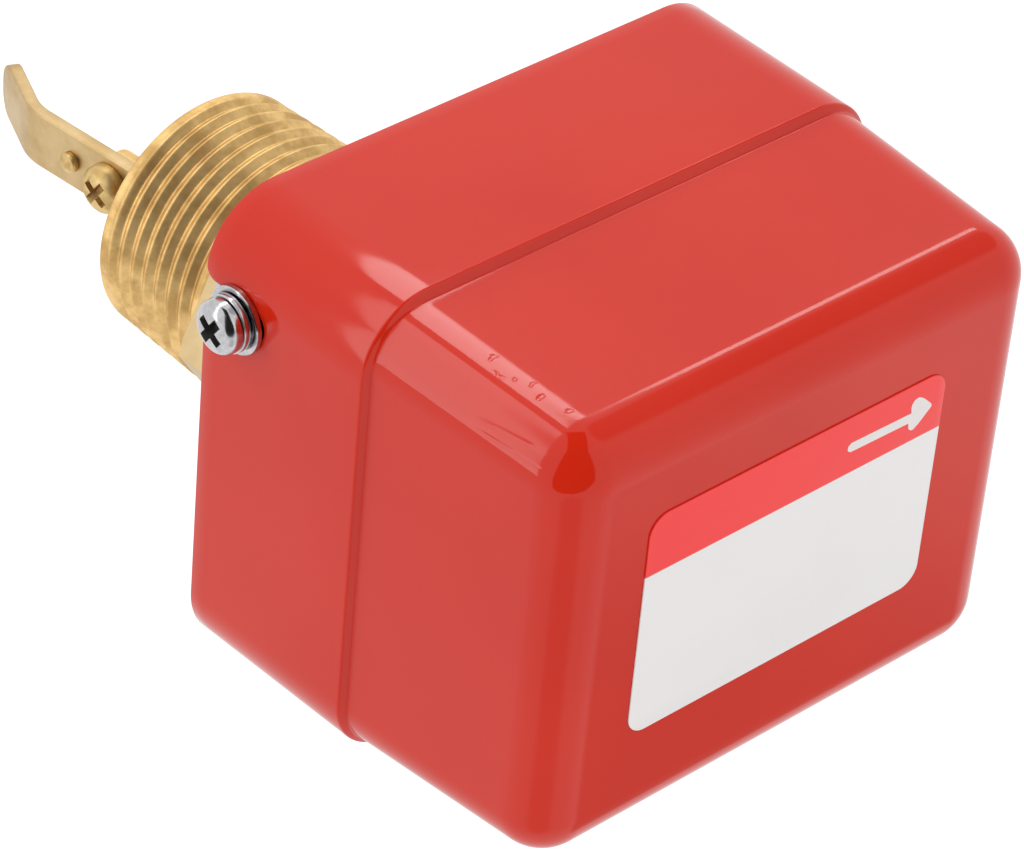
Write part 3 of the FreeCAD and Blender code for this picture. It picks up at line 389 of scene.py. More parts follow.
def corner_marks(tree, where):
    """Adds up the dents and the long streaks, placed by turn round the corner's axis and by level."""
    apart = add_node(tree, "ShaderNodeSeparateXYZ", Vector=where).outputs
    turn = maths(tree, "ARCTAN2", maths(tree, "SUBTRACT", apart["Y"], CORNER_AXIS[1]),
                 maths(tree, "SUBTRACT", apart["X"], CORNER_AXIS[0]))
    along = maths(tree, "MULTIPLY", turn, CORNER_RADIUS)
    level = maths(tree, "DIVIDE", apart["Z"], MM)
    wavy = [maths(tree, "ADD", part, maths(tree, "MULTIPLY_ADD", cloud(tree, where, grain), 1.2, -0.6))
            for part, grain in ((along, 0.9), (level, 1.3))]
    total = None
    for angle, height, half, rise in DENTS:
        off = maths(tree, "DIVIDE", maths(tree, "SUBTRACT", wavy[0], math.radians(angle) * CORNER_RADIUS), half)
        up = maths(tree, "DIVIDE", maths(tree, "SUBTRACT", wavy[1], height), rise)
        bent = maths(tree, "SUBTRACT", up, maths(tree, "MULTIPLY", maths(tree, "MULTIPLY", off, off), 0.8))
        far = maths(tree, "ADD", maths(tree, "MULTIPLY", off, off), maths(tree, "MULTIPLY", bent, bent))
        mark = spread(tree, far, 0.0, 1.0, 1.0, 0.0)
        total = mark if total is None else maths(tree, "ADD", total, mark)
    for angle, low, end_angle, high, half in STREAKS:
        line = spread(tree, level, low, high, math.radians(angle) * CORNER_RADIUS,
                      math.radians(end_angle) * CORNER_RADIUS, smooth=False)
        off = maths(tree, "ABSOLUTE", maths(tree, "DIVIDE", maths(tree, "SUBTRACT", along, line), half))
        ends = maths(tree, "MULTIPLY", spread(tree, level, low - 0.5, low + 3.0),
                     spread(tree, level, high - 0.8, high + 0.8, 1.0, 0.0))
        total = maths(tree, "ADD", total, maths(tree, "MULTIPLY", spread(tree, off, 0.0, 1.0, 1.0, 0.0), ends))
    return total


def red_enamel():
    """Makes the glossy enamel with orange peel and the marks of one corner."""
    finish, tree, shader = finish_of("red_enamel", (0.65, 0.022, 0.006), IOR=1.42)
    where = in_place(tree)
    slow = cloud(tree, where, 26.0, 2.0)
    tree.links.new(tint(tree, spread(tree, slow, 0.3, 0.7), (0.635, 0.020, 0.005), (0.665, 0.024, 0.007)),
                   shader.inputs["Base Color"])
    peel = cloud(tree, where, 2.2, 2.0)
    tree.links.new(maths(tree, "MULTIPLY_ADD", peel, 0.05, 0.05), shader.inputs["Roughness"])
    skin = relief(tree, shader, peel, 0.003)
    relief(tree, shader, corner_marks(tree, where), -0.03, skin)
    return finish


enamel = red_enamel()
print("enamel mixed;", len(DENTS), "dents and", len(STREAKS), "streaks at one corner")

# %% Helpers for the pieces


def shade(mesh, angle=32):
    """Shades a mesh smooth, with edges that turn more than an angle left sharp."""
    mesh.shade_smooth()
    mesh.set_sharp_from_angle(angle=math.radians(angle))


def piece_from(name, points, faces, finish, angle=32):
    """Makes a piece from points in metres and faces."""
    mesh = bpy.data.meshes.new(name)
    mesh.from_pydata([tuple(point) for point in points], [], faces)
    mesh.materials.append(finish)
    mesh.validate()
    shape = bmesh.new()
    shape.from_mesh(mesh)
    bmesh.ops.recalc_face_normals(shape, faces=shape.faces)
    shape.to_mesh(mesh)
    shape.free()
    shade(mesh, angle)
    return set_up(name, mesh)


def settle(piece, angle=32):
    """Bakes a piece's modifiers into its mesh and removes them."""
    graph = bpy.context.evaluated_depsgraph_get()
    made = bpy.data.meshes.new_from_object(piece.evaluated_get(graph))
    piece.modifiers.clear()
    piece.data = made
    made.name = piece.name
    shade(made, angle)
    return piece


def seat(piece, body, nodes):
    """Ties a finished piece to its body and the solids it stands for."""
    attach(piece, body)
    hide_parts(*nodes)
    print(f"{piece.name}: {len(piece.data.polygons)} faces, stands for {', '.join(nodes)}")
    return piece


def weave(rows, columns, closed=True):
    """Lists the four-sided faces between rings of points."""
    faces = []
    for row in range(rows if closed else rows - 1):
        here, there = row * columns, (row + 1) % rows * columns
        for column in range(columns):
            after = (column + 1) % columns
            faces.append((here + column, here + after, there + after, there + column))
    return faces


def arc(start, steps, sweep=math.pi / 2):
    """Lists the cosine and the sine at even steps of a turn."""
    turns = [start + sweep * step / steps for step in range(steps + 1)]
    return [(math.cos(turn), math.sin(turn)) for turn in turns]


def capped(rows, columns):
    """Lists the faces of a tube of rings, closed at both ends."""
    return weave(rows, columns, closed=False) + [
        tuple(reversed(range(columns))), tuple(range((rows - 1) * columns, rows * columns))]


def holder(name, finish):
    """Makes a small triangle that carries a tree until the tree's own shape takes its place."""
    return piece_from(name, [(0, 0, 0), (MM, 0, 0), (0, MM, 0)], [(0, 1, 2)], finish)


# %% [markdown]
# ## The cover
# The real cover is one sheet drawn in two tiers. It could be a box with bevels, but the walls lean, the
# corners tighten from tier to tier and the step is a soft roll. So the skin is built as a stack of rounded
# outlines, each row with its own level, size and corner. The slots are cut after that.

# %% Draw one rounded outline
ARC_STEPS = 16
QUARTERS = ((1, 1), (-1, 1), (-1, -1), (1, -1))         # which way each corner lies from the middle
SIDE_PARTS = [0.01] + [step / 10 for step in range(1, 10)] + [0.99]       # the ends keep the flats flat
MIDDLE = (cover_low + cover_high) / 2
HALF_LENGTH, HALF_WIDTH = (cover_high.x - cover_low.x) / 2, (cover_high.y - cover_low.y) / 2


def outline(inset, corner, level):
    """Lists the points of a rounded rectangle, moved in by an inset, at a level; lengths in mm."""
    half = (HALF_LENGTH / MM - inset - corner, HALF_WIDTH / MM - inset - corner)
    corners = [[Vector((along * half[0] + corner * c, across * half[1] + corner * s, 0))
                for c, s in arc(math.pi / 2 * quarter, ARC_STEPS)]
               for quarter, (along, across) in enumerate(QUARTERS)]
    points = []
    for here, after in zip(corners, corners[1:] + corners[:1]):
        points += here + [here[-1].lerp(after[0], part) for part in SIDE_PARTS]
    lift = Vector((MIDDLE.x / MM, MIDDLE.y / MM, level))
    return [(point + lift) * MM for point in points]


print("one outline has", len(outline(0, 9, 0)), "points")

# %% Stack the outlines of the two tiers
RIM, FACE = cover_low.z / MM, cover_high.z / MM
SKIRT_HEIGHT, STEP_RISE, STEP_IN, STEP_ROLL = 26.1, 0.45, 1.15, 0.28
SKIRT_LEAN, TIER_LEAN = math.tan(math.radians(0.63)), math.tan(math.radians(2.94))
SKIRT_CORNER, TIER_CORNER, FACE_EDGE, WALL = 9.3, 7.0, 6.2, 1.0
EDGE_STEPS, INNER_STEPS = 12, 8


def roll(start, middle, end, steps=5):
    """Rounds the corner between two straight parts of the section."""
    points = []
    for step in range(steps + 1):
        part = step / steps
        points.append(tuple((1 - part) ** 2 * a + 2 * part * (1 - part) * b + part ** 2 * c
                            for a, b, c in zip(start, middle, end)))
    return points


def cover_section():
    """Lists (inset, corner, level) from the rim up to the flat face."""
    top_in, step_level = SKIRT_HEIGHT * SKIRT_LEAN, RIM + SKIRT_HEIGHT
    shoulder = (top_in, SKIRT_CORNER - 0.3, step_level)
    foot = (top_in + STEP_IN, TIER_CORNER, step_level + STEP_RISE)
    below = (top_in - STEP_ROLL * SKIRT_LEAN, SKIRT_CORNER - 0.3, step_level - STEP_ROLL)
    above = (foot[0] + STEP_ROLL * TIER_LEAN, foot[1], foot[2] + STEP_ROLL)
    ledge_out, under, ledge_in = (tuple(a + (b - a) * part for a, b in zip(shoulder, foot))
                                  for part in (0.25, 0.5, 0.78))
    rows = [(0.0, SKIRT_CORNER, RIM), (0.02, SKIRT_CORNER, RIM + 2),
            (top_in / 2, SKIRT_CORNER - 0.15, RIM + 13)]
    rows += roll(below, shoulder, ledge_out) + [under] + roll(ledge_in, foot, above)
    rise = FACE - FACE_EDGE - above[2]
    edge_in = above[0] + rise * TIER_LEAN
    for part in (0.03, 0.5, 0.97):
        rows.append((above[0] + rise * part * TIER_LEAN, TIER_CORNER - 0.4 * part, above[2] + rise * part))
    for c, s in arc(0, EDGE_STEPS):
        inward = FACE_EDGE * (1 - c)
        rows.append((edge_in + inward, max(TIER_CORNER - 0.4 - inward, 0.35), FACE - FACE_EDGE + FACE_EDGE * s))
    rows.append((edge_in + FACE_EDGE + 0.4, 0.2, FACE))
    return rows


def inner_section(rows):
    """Moves the section in by the sheet's thickness and turns it to run back down."""
    inner = [(inset + WALL, max(corner - WALL, 0.3), min(level, FACE - WALL))
             for inset, corner, level in rows[:-10]]
    edge_in, edge_corner = rows[-EDGE_STEPS - 2][:2]
    small = FACE_EDGE - WALL
    for c, s in arc(0, INNER_STEPS)[1:]:
        inward = small * (1 - c)
        inner.append((edge_in + WALL + inward, max(edge_corner - WALL - inward, 0.3),
                      FACE - FACE_EDGE + small * s))
    return inner[::-1]


outer_rows = cover_section()
inner_rows = inner_section(outer_rows)
print("rows outside:", len(outer_rows), "inside:", len(inner_rows))

# %% Close the shell and cut its slots
LOCK_ACROSS, SCREW_ACROSS, SCREW_RISE = 20.5, 20.1, 5.8
SLOT_HALF, SLOT_RISE, SLOT_FLARE = 2.2, 7.9, 1.6
NOTCH_HALF, NOTCH_RISE, NOTCH_FLARE = 11.0, 13.5, 0.8


def cover_blank():
    """Joins the outer and inner skins over the rim and caps both roofs."""
    points, count = [], len(outline(0, 9, 0))
    for inset, corner, level in outer_rows + inner_rows:
        points += outline(inset, corner, level)
    outside, total = len(outer_rows), len(outer_rows) + len(inner_rows)
    faces = [face for face in weave(total, count) if not (outside - 1) * count <= face[0] < outside * count]
    faces.append(tuple(range((outside - 1) * count, outside * count)))
    faces.append(tuple(reversed(range(outside * count, (outside + 1) * count))))
    return piece_from("cover_shell", points, faces, enamel)


def cutter(name, shape, x_low, x_high):
    """Makes a cutting block from a (y, z) shape in mm, running along X."""
    points = [Vector((x, y, z)) * MM for x in (x_low, x_high) for y, z in shape]
    return piece_from(name, points, capped(2, len(shape)), enamel)


def slot_shape(across, half, top, flare):
    """Lists a slot that opens at the rim with flared corners and ends in a half circle."""
    right = [(across + half + flare, RIM - 1.0), (across + half + flare, RIM)]
    right += [(across + half + flare * (1 - s), RIM + flare * (1 - c)) for c, s in arc(0, 6)[1:]]
    crown = [(across + half * c, top + half * s) for c, s in arc(0, 16, math.pi)]
    left = [(2 * across - y, z) for y, z in reversed(right)]
    return right + crown + left


def cut(piece, tools):
    """Sets a piece to be cut by tools, and gives the tools back for the bin."""
    for tool in tools:
        step = piece.modifiers.new(tool.name, "BOOLEAN")
        step.object, step.operation, step.solver = tool, "DIFFERENCE", "EXACT"
    return tools


shell = cover_blank()
left_end, right_end = cover_low.x / MM, cover_high.x / MM
tools = cut(shell, [cutter(name, slot_shape(across, half, RIM + rise, flare), end - 3, end + 3)
                    for name, end, across, half, rise, flare in (
                        ("slot_left", left_end, LOCK_ACROSS, SLOT_HALF, SLOT_RISE, SLOT_FLARE),
                        ("slot_right", right_end, -LOCK_ACROSS, SLOT_HALF, SLOT_RISE, SLOT_FLARE),
                        ("notch", right_end, 0, NOTCH_HALF, NOTCH_RISE, NOTCH_FLARE))])
soften = shell.modifiers.new("soften", "BEVEL")
soften.width, soften.segments = 0.22 * MM, 2
soften.limit_method, soften.angle_limit = "ANGLE", math.radians(55)
settle(shell, 40)
for tool in tools:
    bpy.data.objects.remove(tool)
seat(shell, "housing", ["cover"])

# %% [markdown]
# ## The label
# A printed film with round corners sits on the face of the cover. Its upper part is red and carries a white
# arrow for the flow, and the rest is left plain white. The red field is a rule on height across the film,
# because a printed edge is sharp, while the arrow is a piece of its own so that its outline stays crisp.

# %% Print and lay the label
label_low, label_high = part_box("label")
BAND_LEVEL, BAND_BLUR, LABEL_CORNER = 8.85 * MM, 0.03 * MM, 2.7 * MM


def label_film():
    """Makes the film: white below, red above a straight line."""
    finish, tree, shader = finish_of("label_film", (0.80, 0.78, 0.77), Coat_Weight=0.2, Coat_Roughness=0.15)
    where = in_place(tree)
    apart = add_node(tree, "ShaderNodeSeparateXYZ", Vector=where).outputs
    band = spread(tree, apart["Y"], BAND_LEVEL - BAND_BLUR, BAND_LEVEL + BAND_BLUR)
    mottle = cloud(tree, where, 5.0, 3.0)
    white = tint(tree, mottle, (0.86, 0.835, 0.825), (0.89, 0.865, 0.855))
    red = tint(tree, mottle, (0.98, 0.030, 0.030), (1.0, 0.038, 0.038))
    tree.links.new(tint(tree, band, white, red), shader.inputs["Base Color"])
    grain = cloud(tree, where, 0.25, 2.0)
    tree.links.new(maths(tree, "MULTIPLY_ADD", grain, 0.12, 0.30), shader.inputs["Roughness"])
    relief(tree, shader, grain, 0.001)
    return finish


def rounded_plate(name, low, high, corner, finish, steps=10):
    """Makes a thin plate with round corners between two corners of its box."""
    middle, half = (low + high) / 2, (high - low) / 2 - Vector((corner, corner, 0))
    flat = [(middle.x + along * half.x + corner * c, middle.y + across * half.y + corner * s)
            for quarter, (along, across) in enumerate(QUARTERS) for c, s in arc(math.pi / 2 * quarter, steps)]
    points = [(x, y, level) for level in (low.z, high.z) for x, y in flat]
    return piece_from(name, points, capped(2, len(flat)), finish)


film = label_film()
label = rounded_plate("label_film", label_low, label_high, LABEL_CORNER, film)
trim = label.modifiers.new("trim", "BEVEL")
trim.width, trim.segments, trim.limit_method = 0.06 * MM, 2, "ANGLE"
seat(settle(label), "housing", ["label"])

# %% Print the arrow
ARROW_LEVEL, ARROW_INK = 12.45, 0.02
ARROW = [(17.2, -0.55), (26.6, -0.75), (26.75, -1.6), (27.15, -2.0), (27.6, -2.05), (28.3, -1.6),
         (29.9, -0.2), (30.25, 0.1), (30.1, 0.55), (28.7, 1.9), (27.9, 2.4), (27.2, 2.3),
         (26.8, 1.8), (26.75, 1.2), (26.9, 0.55), (17.2, 0.75), (16.7, 0.4), (16.7, -0.2)]


def print_arrow():
    """Makes the arrow as a very thin raised print that points down the flow."""
    top = label_high.z / MM
    points = [Vector((x, ARROW_LEVEL + y, z)) * MM
              for z in (top - 0.01, top + ARROW_INK) for x, y in ARROW]
    ink, tree, shader = finish_of("arrow_ink", (0.84, 0.82, 0.80), Roughness=0.4)
    mottle = cloud(tree, in_place(tree), 2.0)
    tree.links.new(tint(tree, mottle, (0.82, 0.76, 0.74), (0.88, 0.85, 0.83)), shader.inputs["Base Color"])
    return piece_from("flow_arrow", points, capped(2, len(ARROW)), ink)


arrow = print_arrow()
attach(arrow, "housing")
print("arrow ends at", ARROW[7][0], "mm along the flow")

# %% [markdown]
# ## The brass fitting and its pipe thread
# The fitting is turned from hexagon bar. A thread follows a rule: the tool sinks by a depth that depends
# only on how far the height and the turn are out of step. So the blank is turned first, and a Geometry
# Nodes tree then acts as the die. A right-hand taper pipe thread of one inch has 11 threads to the inch.

# %% Turn the blank
fit_low, fit_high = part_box("fitting_body")
THREAD_FOOT = fit_low.z / MM + 0.45
CREST_FOOT, CREST_TOP = 16.15, 16.80        # crest radius at the free end and at the hexagon
PITCH, THREAD_DEPTH = 2.309, 0.75
THREAD_RINGS, ROUND_STEPS = 11 * 14, 180


def turned(name, section, finish, steps=ROUND_STEPS, start=0.0, angle=32):
    """Turns a closed section of (radius, level) in mm about Z; a radius may be a rule on the angle."""
    points = []
    for radius, level in section:
        for step in range(steps):
            turn = start + math.tau * step / steps
            reach = radius(turn) if callable(radius) else radius
            rise = level(turn) if callable(level) else level
            points.append(Vector((reach * math.cos(turn), reach * math.sin(turn), rise)) * MM)
    return piece_from(name, points, weave(len(section), steps), finish, angle)


def thread_blank():
    """Turns the fitting without its hexagon, with close rings where the thread goes."""
    crest = [(CREST_FOOT + (CREST_TOP - CREST_FOOT) * ring / THREAD_RINGS,
              THREAD_FOOT * (1 - ring / THREAD_RINGS)) for ring in range(THREAD_RINGS + 1)]
    crest[0] = (CREST_FOOT - 0.35, THREAD_FOOT)
    crest[1] = (CREST_FOOT - 0.10, THREAD_FOOT + 0.09)
    top, boss = fit_high.z / MM, RIM - 0.5
    section = crest + [(15.4, 0.05), (15.4, boss - 0.4), (15.0, boss), (12.5, boss), (12.5, top - 0.4),
                       (12.1, top), (8.8, top), (8.4, top - 0.4), (8.4, 13.0), (12.0, 13.0),
                       (12.0, THREAD_FOOT + 0.6), (12.6, THREAD_FOOT)]
    blank = turned("fitting_thread", section, turned_brass, angle=60)
    mark = blank.data.attributes.new("cut", "FLOAT", "POINT")
    mark.data.foreach_set("value", [1.0 if at < len(crest) * ROUND_STEPS else 0.0
                                    for at in range(len(blank.data.vertices))])
    return blank


blank = thread_blank()
print("the blank has", len(blank.data.vertices), "points")

# %% Build the die as a tree


def new_tree(name, sizes, finish):
    """Starts a Geometry Nodes tree with named sizes and ends it in Realize Instances and Set Material."""
    tree = bpy.data.node_groups.new(name, "GeometryNodeTree")
    tree.is_modifier = True
    tree.interface.new_socket("Geometry", in_out="OUTPUT", socket_type="NodeSocketGeometry")
    tree.interface.new_socket("Geometry", in_out="INPUT", socket_type="NodeSocketGeometry")
    for title, (kind, amount) in sizes.items():
        socket = tree.interface.new_socket(title, in_out="INPUT", socket_type=f"NodeSocket{kind}")
        if amount is not None:
            socket.default_value = amount
    given, out = tree.nodes.new("NodeGroupInput"), tree.nodes.new("NodeGroupOutput")
    real = tree.nodes.new("GeometryNodeRealizeInstances")
    coat = add_node(tree, "GeometryNodeSetMaterial", Geometry=real.outputs[0], Material=finish)
    tree.links.new(coat.outputs[0], out.inputs[0])
    return tree, given.outputs, real.inputs[0]


def run_tree(piece, tree, **sizes):
    """Gives a piece the tree as a modifier and sets its sizes by the sockets' own identifiers."""
    step = piece.modifiers.new(tree.name, "NODES")
    step.node_group = tree
    known = {item.name: item.identifier for item in tree.interface.items_tree if item.in_out == "INPUT"}
    for title, amount in sizes.items():
        step[known[title.replace("_", " ")]] = amount
    return piece


def thread_die():
    """Builds the tree that sinks a helical groove into the marked skin of a blank."""
    tree, given, end = new_tree("thread_die", {
        "Pitch": ("Float", 0.001), "Depth": ("Float", 0.0005), "Foot": ("Float", 0.0), "Head": ("Float", 0.01),
        "Runout": ("Float", 0.001)}, turned_brass)
    place = tree.nodes.new("GeometryNodeInputPosition").outputs[0]
    apart = add_node(tree, "ShaderNodeSeparateXYZ", Vector=place).outputs
    turn = maths(tree, "DIVIDE", maths(tree, "ARCTAN2", apart["Y"], apart["X"]), math.tau)
    climb = maths(tree, "DIVIDE", apart["Z"], given["Pitch"])
    wave = maths(tree, "MULTIPLY", maths(tree, "PINGPONG", maths(tree, "SUBTRACT", climb, turn), 0.5), 2.0)
    groove = spread(tree, wave, 0.10, 0.94, smooth=False)
    rising = maths(tree, "DIVIDE", maths(tree, "SUBTRACT", apart["Z"], given["Foot"]), given["Runout"])
    falling = maths(tree, "DIVIDE", maths(tree, "SUBTRACT", given["Head"], apart["Z"]), given["Runout"])
    fade = spread(tree, maths(tree, "MINIMUM", rising, falling), 0.0, 1.0)
    marked = add_node(tree, "GeometryNodeInputNamedAttribute", Name="cut")
    sink = maths(tree, "MULTIPLY", maths(tree, "MULTIPLY", groove, fade), maths(
        tree, "MULTIPLY", given["Depth"], marked.outputs["Attribute"]))
    outward = add_node(tree, "ShaderNodeCombineXYZ", X=apart["X"], Y=apart["Y"]).outputs[0]
    unit = tree.nodes.new("ShaderNodeVectorMath")
    unit.operation = "NORMALIZE"
    tree.links.new(outward, unit.inputs[0])
    shift = tree.nodes.new("ShaderNodeVectorMath")
    shift.operation = "SCALE"
    tree.links.new(unit.outputs[0], shift.inputs[0])
    tree.links.new(maths(tree, "MULTIPLY", sink, -1.0), shift.inputs["Scale"])
    moved = add_node(tree, "GeometryNodeSetPosition", Geometry=given["Geometry"], Offset=shift.outputs[0])
    tree.links.new(moved.outputs[0], end)
    return tree


die = thread_die()
run_tree(blank, die, Pitch=PITCH * MM, Depth=THREAD_DEPTH * MM, Foot=(THREAD_FOOT + 0.5) * MM, Head=0.0,
         Runout=2.2 * MM)
settle(blank, 60)
print("thread cut,", round(-THREAD_FOOT / PITCH, 1), "turns")

# %% Mill the hexagon
HEX_FLATS, HEX_TURN, HEX_TOP, HEX_BEVEL = 34.5, math.radians(4.5), 12.0, 19.0


def flat_reach(turn):
    """Gives the distance from the axis to the side of the hexagon."""
    part = (turn - HEX_TURN) % (math.pi / 3) - math.pi / 6
    return HEX_FLATS / 2 / math.cos(part)


def hexagon_piece():
    """Turns a ring and lets its outside follow the hexagon, with bevelled corners above and below."""
    def bevel(turn):
        return max(0.0, flat_reach(turn) - HEX_BEVEL) * math.tan(math.radians(28))

    def inner(turn):
        return min(flat_reach(turn), HEX_BEVEL) - 0.15

    section = [(15.0, 0.0), (inner, 0.0), (flat_reach, lambda turn: 0.15 + bevel(turn)),
               (flat_reach, lambda turn: HEX_TOP - 0.15 - bevel(turn)), (inner, HEX_TOP), (15.0, HEX_TOP)]
    return turned("fitting_hexagon", section, milled_brass, 240, HEX_TURN, 20)


hexagon = hexagon_piece()
seat(blank, "housing", ["fitting_body"])
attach(hexagon, "housing")

# %% [markdown]
# ## The cover screws
# Each end of the cover is held by a screw with a flat washer and a split spring washer. The two ends are
# the same set turned half round about the upright middle line of the cover, so each piece is made once and
# a small tree sets it at both ends.

# %% Build the tree that sets a piece at both ends


def both_ends():
    """Builds the tree that turns a fastener half round the cover's middle."""
    tree, given, end = new_tree("both_ends", {
        "Fastener": ("Object", None), "Middle": ("Vector", (0, 0, 0)), "Seat": ("Vector", (0, 0, 0)),
        "Tip": ("Rotation", None), "Count": ("Int", 2), "Finish": ("Material", None),
        "Recess": ("Material", None)}, None)
    part = add_node(tree, "GeometryNodeObjectInfo", Object=given["Fastener"])
    laid = add_node(tree, "GeometryNodeTransform", Geometry=part.outputs["Geometry"], Translation=given["Seat"],
                    Rotation=given["Tip"])
    points = add_node(tree, "GeometryNodePoints", Count=given["Count"], Position=given["Middle"])
    index = tree.nodes.new("GeometryNodeInputIndex").outputs[0]
    round_about = maths(tree, "DIVIDE", maths(tree, "MULTIPLY", index, math.tau), given["Count"])
    turn = add_node(tree, "ShaderNodeCombineXYZ", Z=round_about)
    spin = add_node(tree, "FunctionNodeEulerToRotation", Euler=turn.outputs[0])
    copies = add_node(tree, "GeometryNodeInstanceOnPoints", Points=points.outputs[0], Instance=laid.outputs[0],
                      Rotation=spin.outputs[0])
    tree.links.new(copies.outputs[0], end)
    coat = [node for node in tree.nodes if node.bl_idname == "GeometryNodeSetMaterial"][0]
    tree.links.new(given["Finish"], coat.inputs["Material"])
    # faces that carry the recess finish keep it, so the painted shade inside the cross stays
    rest = tree.nodes.new("FunctionNodeBooleanMath")
    rest.operation = "NOT"
    inside = add_node(tree, "GeometryNodeMaterialSelection", Material=given["Recess"])
    tree.links.new(inside.outputs[0], rest.inputs[0])
    tree.links.new(rest.outputs[0], coat.inputs["Selection"])
    return tree


pair_tree = both_ends()
COVER_MIDDLE = Vector((MIDDLE.x, MIDDLE.y, 0))


def set_pair(name, fastener, outward, finish, node):
    """Sets a fastener made on the Z axis at both ends, its foot a distance outside the cover's end."""
    pair = holder(name, finish)
    spot = Vector((left_end - outward, SCREW_ACROSS, RIM + SCREW_RISE)) * MM - COVER_MIDDLE
    run_tree(pair, pair_tree, Fastener=fastener, Middle=COVER_MIDDLE, Seat=spot,
             Tip=(0, -math.pi / 2, 0), Count=2, Finish=finish, Recess=grimy_recess)
    settle(pair, 35)
    bpy.data.objects.remove(fastener)
    return seat(pair, "housing", [node])


# %% Make the flat and spring washers
WASHER_THICK = 0.8
flat_washer = turned("flat_washer_blank", [
    (2.15, 0.06), (2.25, 0.0), (4.1, 0.0), (4.2, 0.12), (4.2, WASHER_THICK - 0.12), (4.1, WASHER_THICK),
    (2.25, WASHER_THICK), (2.15, WASHER_THICK - 0.06)], bright_plate, 72)


def coil_tree(name, finish):
    """Builds the tree of a coil: a spiral with a rectangular wire, closed at both ends."""
    tree, given, end = new_tree(name, {
        "Radius": ("Float", 0.003), "Rise": ("Float", 0.001), "Turns": ("Float", 1.0),
        "Wire Width": ("Float", 0.001), "Wire Height": ("Float", 0.001), "Rounding": ("Float", 0.0001),
        "Steps": ("Int", 64)}, finish)
    line = add_node(tree, "GeometryNodeCurveSpiral", Resolution=given["Steps"], Rotations=given["Turns"],
                    Start_Radius=given["Radius"], End_Radius=given["Radius"], Height=given["Rise"])
    upright = tree.nodes.new("GeometryNodeSetCurveNormal")
    upright.mode = "Z_UP"
    tree.links.new(line.outputs[0], upright.inputs["Curve"])
    wire_shape = add_node(tree, "GeometryNodeCurvePrimitiveQuadrilateral", Width=given["Wire Width"],
                          Height=given["Wire Height"])
    rounded = add_node(tree, "GeometryNodeFilletCurve", Curve=wire_shape.outputs[0], Radius=given["Rounding"])
    if hasattr(rounded, "mode"):
        rounded.mode = "POLY"
    rounded.inputs["Count"].default_value = 3
    swept = add_node(tree, "GeometryNodeCurveToMesh", Curve=upright.outputs[0],
                     Profile_Curve=rounded.outputs[0])
    swept.inputs["Fill Caps"].default_value = True
    tree.links.new(swept.outputs[0], end)
    return tree


spring_washer = holder("spring_washer_blank", bright_plate)
run_tree(spring_washer, coil_tree("spring_washer", bright_plate), Radius=2.85 * MM, Rise=0.55 * MM, Turns=0.97,
         Wire_Width=1.4 * MM, Wire_Height=0.85 * MM, Rounding=0.12 * MM, Steps=72)
settle(spring_washer, 35)
half_wire, split_turn = 0.43 * MM, math.radians(200)
spring_washer.data.transform(Matrix.Translation((0, 0, half_wire)) @ Matrix.Rotation(split_turn, 4, "Z"))
print("spring washer has", len(spring_washer.data.polygons), "faces")

# %% Make the screw with its cross recess
CROSS_TURN = 0.95                   # radians; where the driver left the screw


def cross_cutter(name, reach, wing, top, bottom, inside):
    """Makes the tapered cross that a driver fits in a screw's head; sizes in mm."""
    points = []
    for level, long, wide in ((bottom, reach * 0.45, wing * 0.40), (top, reach, wing / 2)):
        for quarter in range(4):
            turn = Matrix.Rotation(math.pi / 2 * quarter + CROSS_TURN, 3, "Z")
            points += [turn @ Vector((x, y, level)) * MM
                       for x, y in ((long, -wide), (long, wide), (wide, wide))]
    return piece_from(name, points, capped(2, len(points) // 2), inside)


def pan_head(name, radius, height, shank, length, finish, inside, wing, reach, sink=0.66):
    """Turns a domed head with its shank on the Z axis and cuts a cross recess into it; sizes in mm,
    the reach and the depth of the recess as shares of the head's radius and height."""
    dome = [(radius * 0.97, 0.0), (radius, 0.12), (radius, height * 0.34)]
    dome += [(radius * (0.25 + 0.75 * c ** 0.8), height * (0.34 + 0.66 * s)) for c, s in arc(0, 9)[1:-1]]
    stem = [(0.02, -length), (shank - 0.3, -length), (shank, 0.35 - length), (shank, 0.0)]
    head = turned(name, stem + dome + [(0.02, height)], finish, 72)
    tool = cross_cutter(f"{name}_cross", reach * radius, wing, height + 0.3, height * (1 - sink), inside)
    cut(head, [tool])
    # the faces cut by the cross take the inside finish, a darker one that paints the shade of the recess
    head.modifiers[0].material_mode = "TRANSFER"
    round_off = head.modifiers.new("round", "BEVEL")
    round_off.width, round_off.segments, round_off.limit_method = 0.07 * MM, 2, "ANGLE"
    round_off.angle_limit = math.radians(40)
    settle(head, 35)
    bpy.data.objects.remove(tool)
    return head


STACK = 2.0                         # both washers together
HEAD_HEIGHT = left_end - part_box("cover_screws")[0].x / MM - STACK - 0.25
# the cross recess takes the near-black inside finish, painted shade in the hollow
cover_screw = pan_head("cover_screw_blank", radius=3.35, height=HEAD_HEIGHT, shank=1.9, length=8.0,
                       finish=bright_plate, inside=grimy_recess, wing=1.25, reach=0.66)
set_pair("cover_screws_dressed", cover_screw, STACK, bright_plate, "cover_screws")
set_pair("flat_washers_dressed", flat_washer, 0.0, bright_plate, "flat_washers")
set_pair("spring_washers_dressed", spring_washer, WASHER_THICK, bright_plate, "spring_washers")

# %% [markdown]
# ## The paddle
# The blade is a strip of rolled brass, held to the flat of the rod by one large screw and one small one. Its
# tail bends downstream. It is swept along its own line with a slightly rounded section, and the corners of
# the tip are rounded by narrowing the last sections.

# %% Sweep the blade
PIVOT, LEAN = 5.0, math.radians(5)
BLADE_FRONT, BLADE_GAUGE, BLADE_WIDTH = -2.6, 1.75, 7.6
BLADE_TOP, BEND_LEVEL, BEND_RADIUS, BEND_ANGLE, TAIL = -21.0, -43.0, 8.6, math.radians(28), 9.7


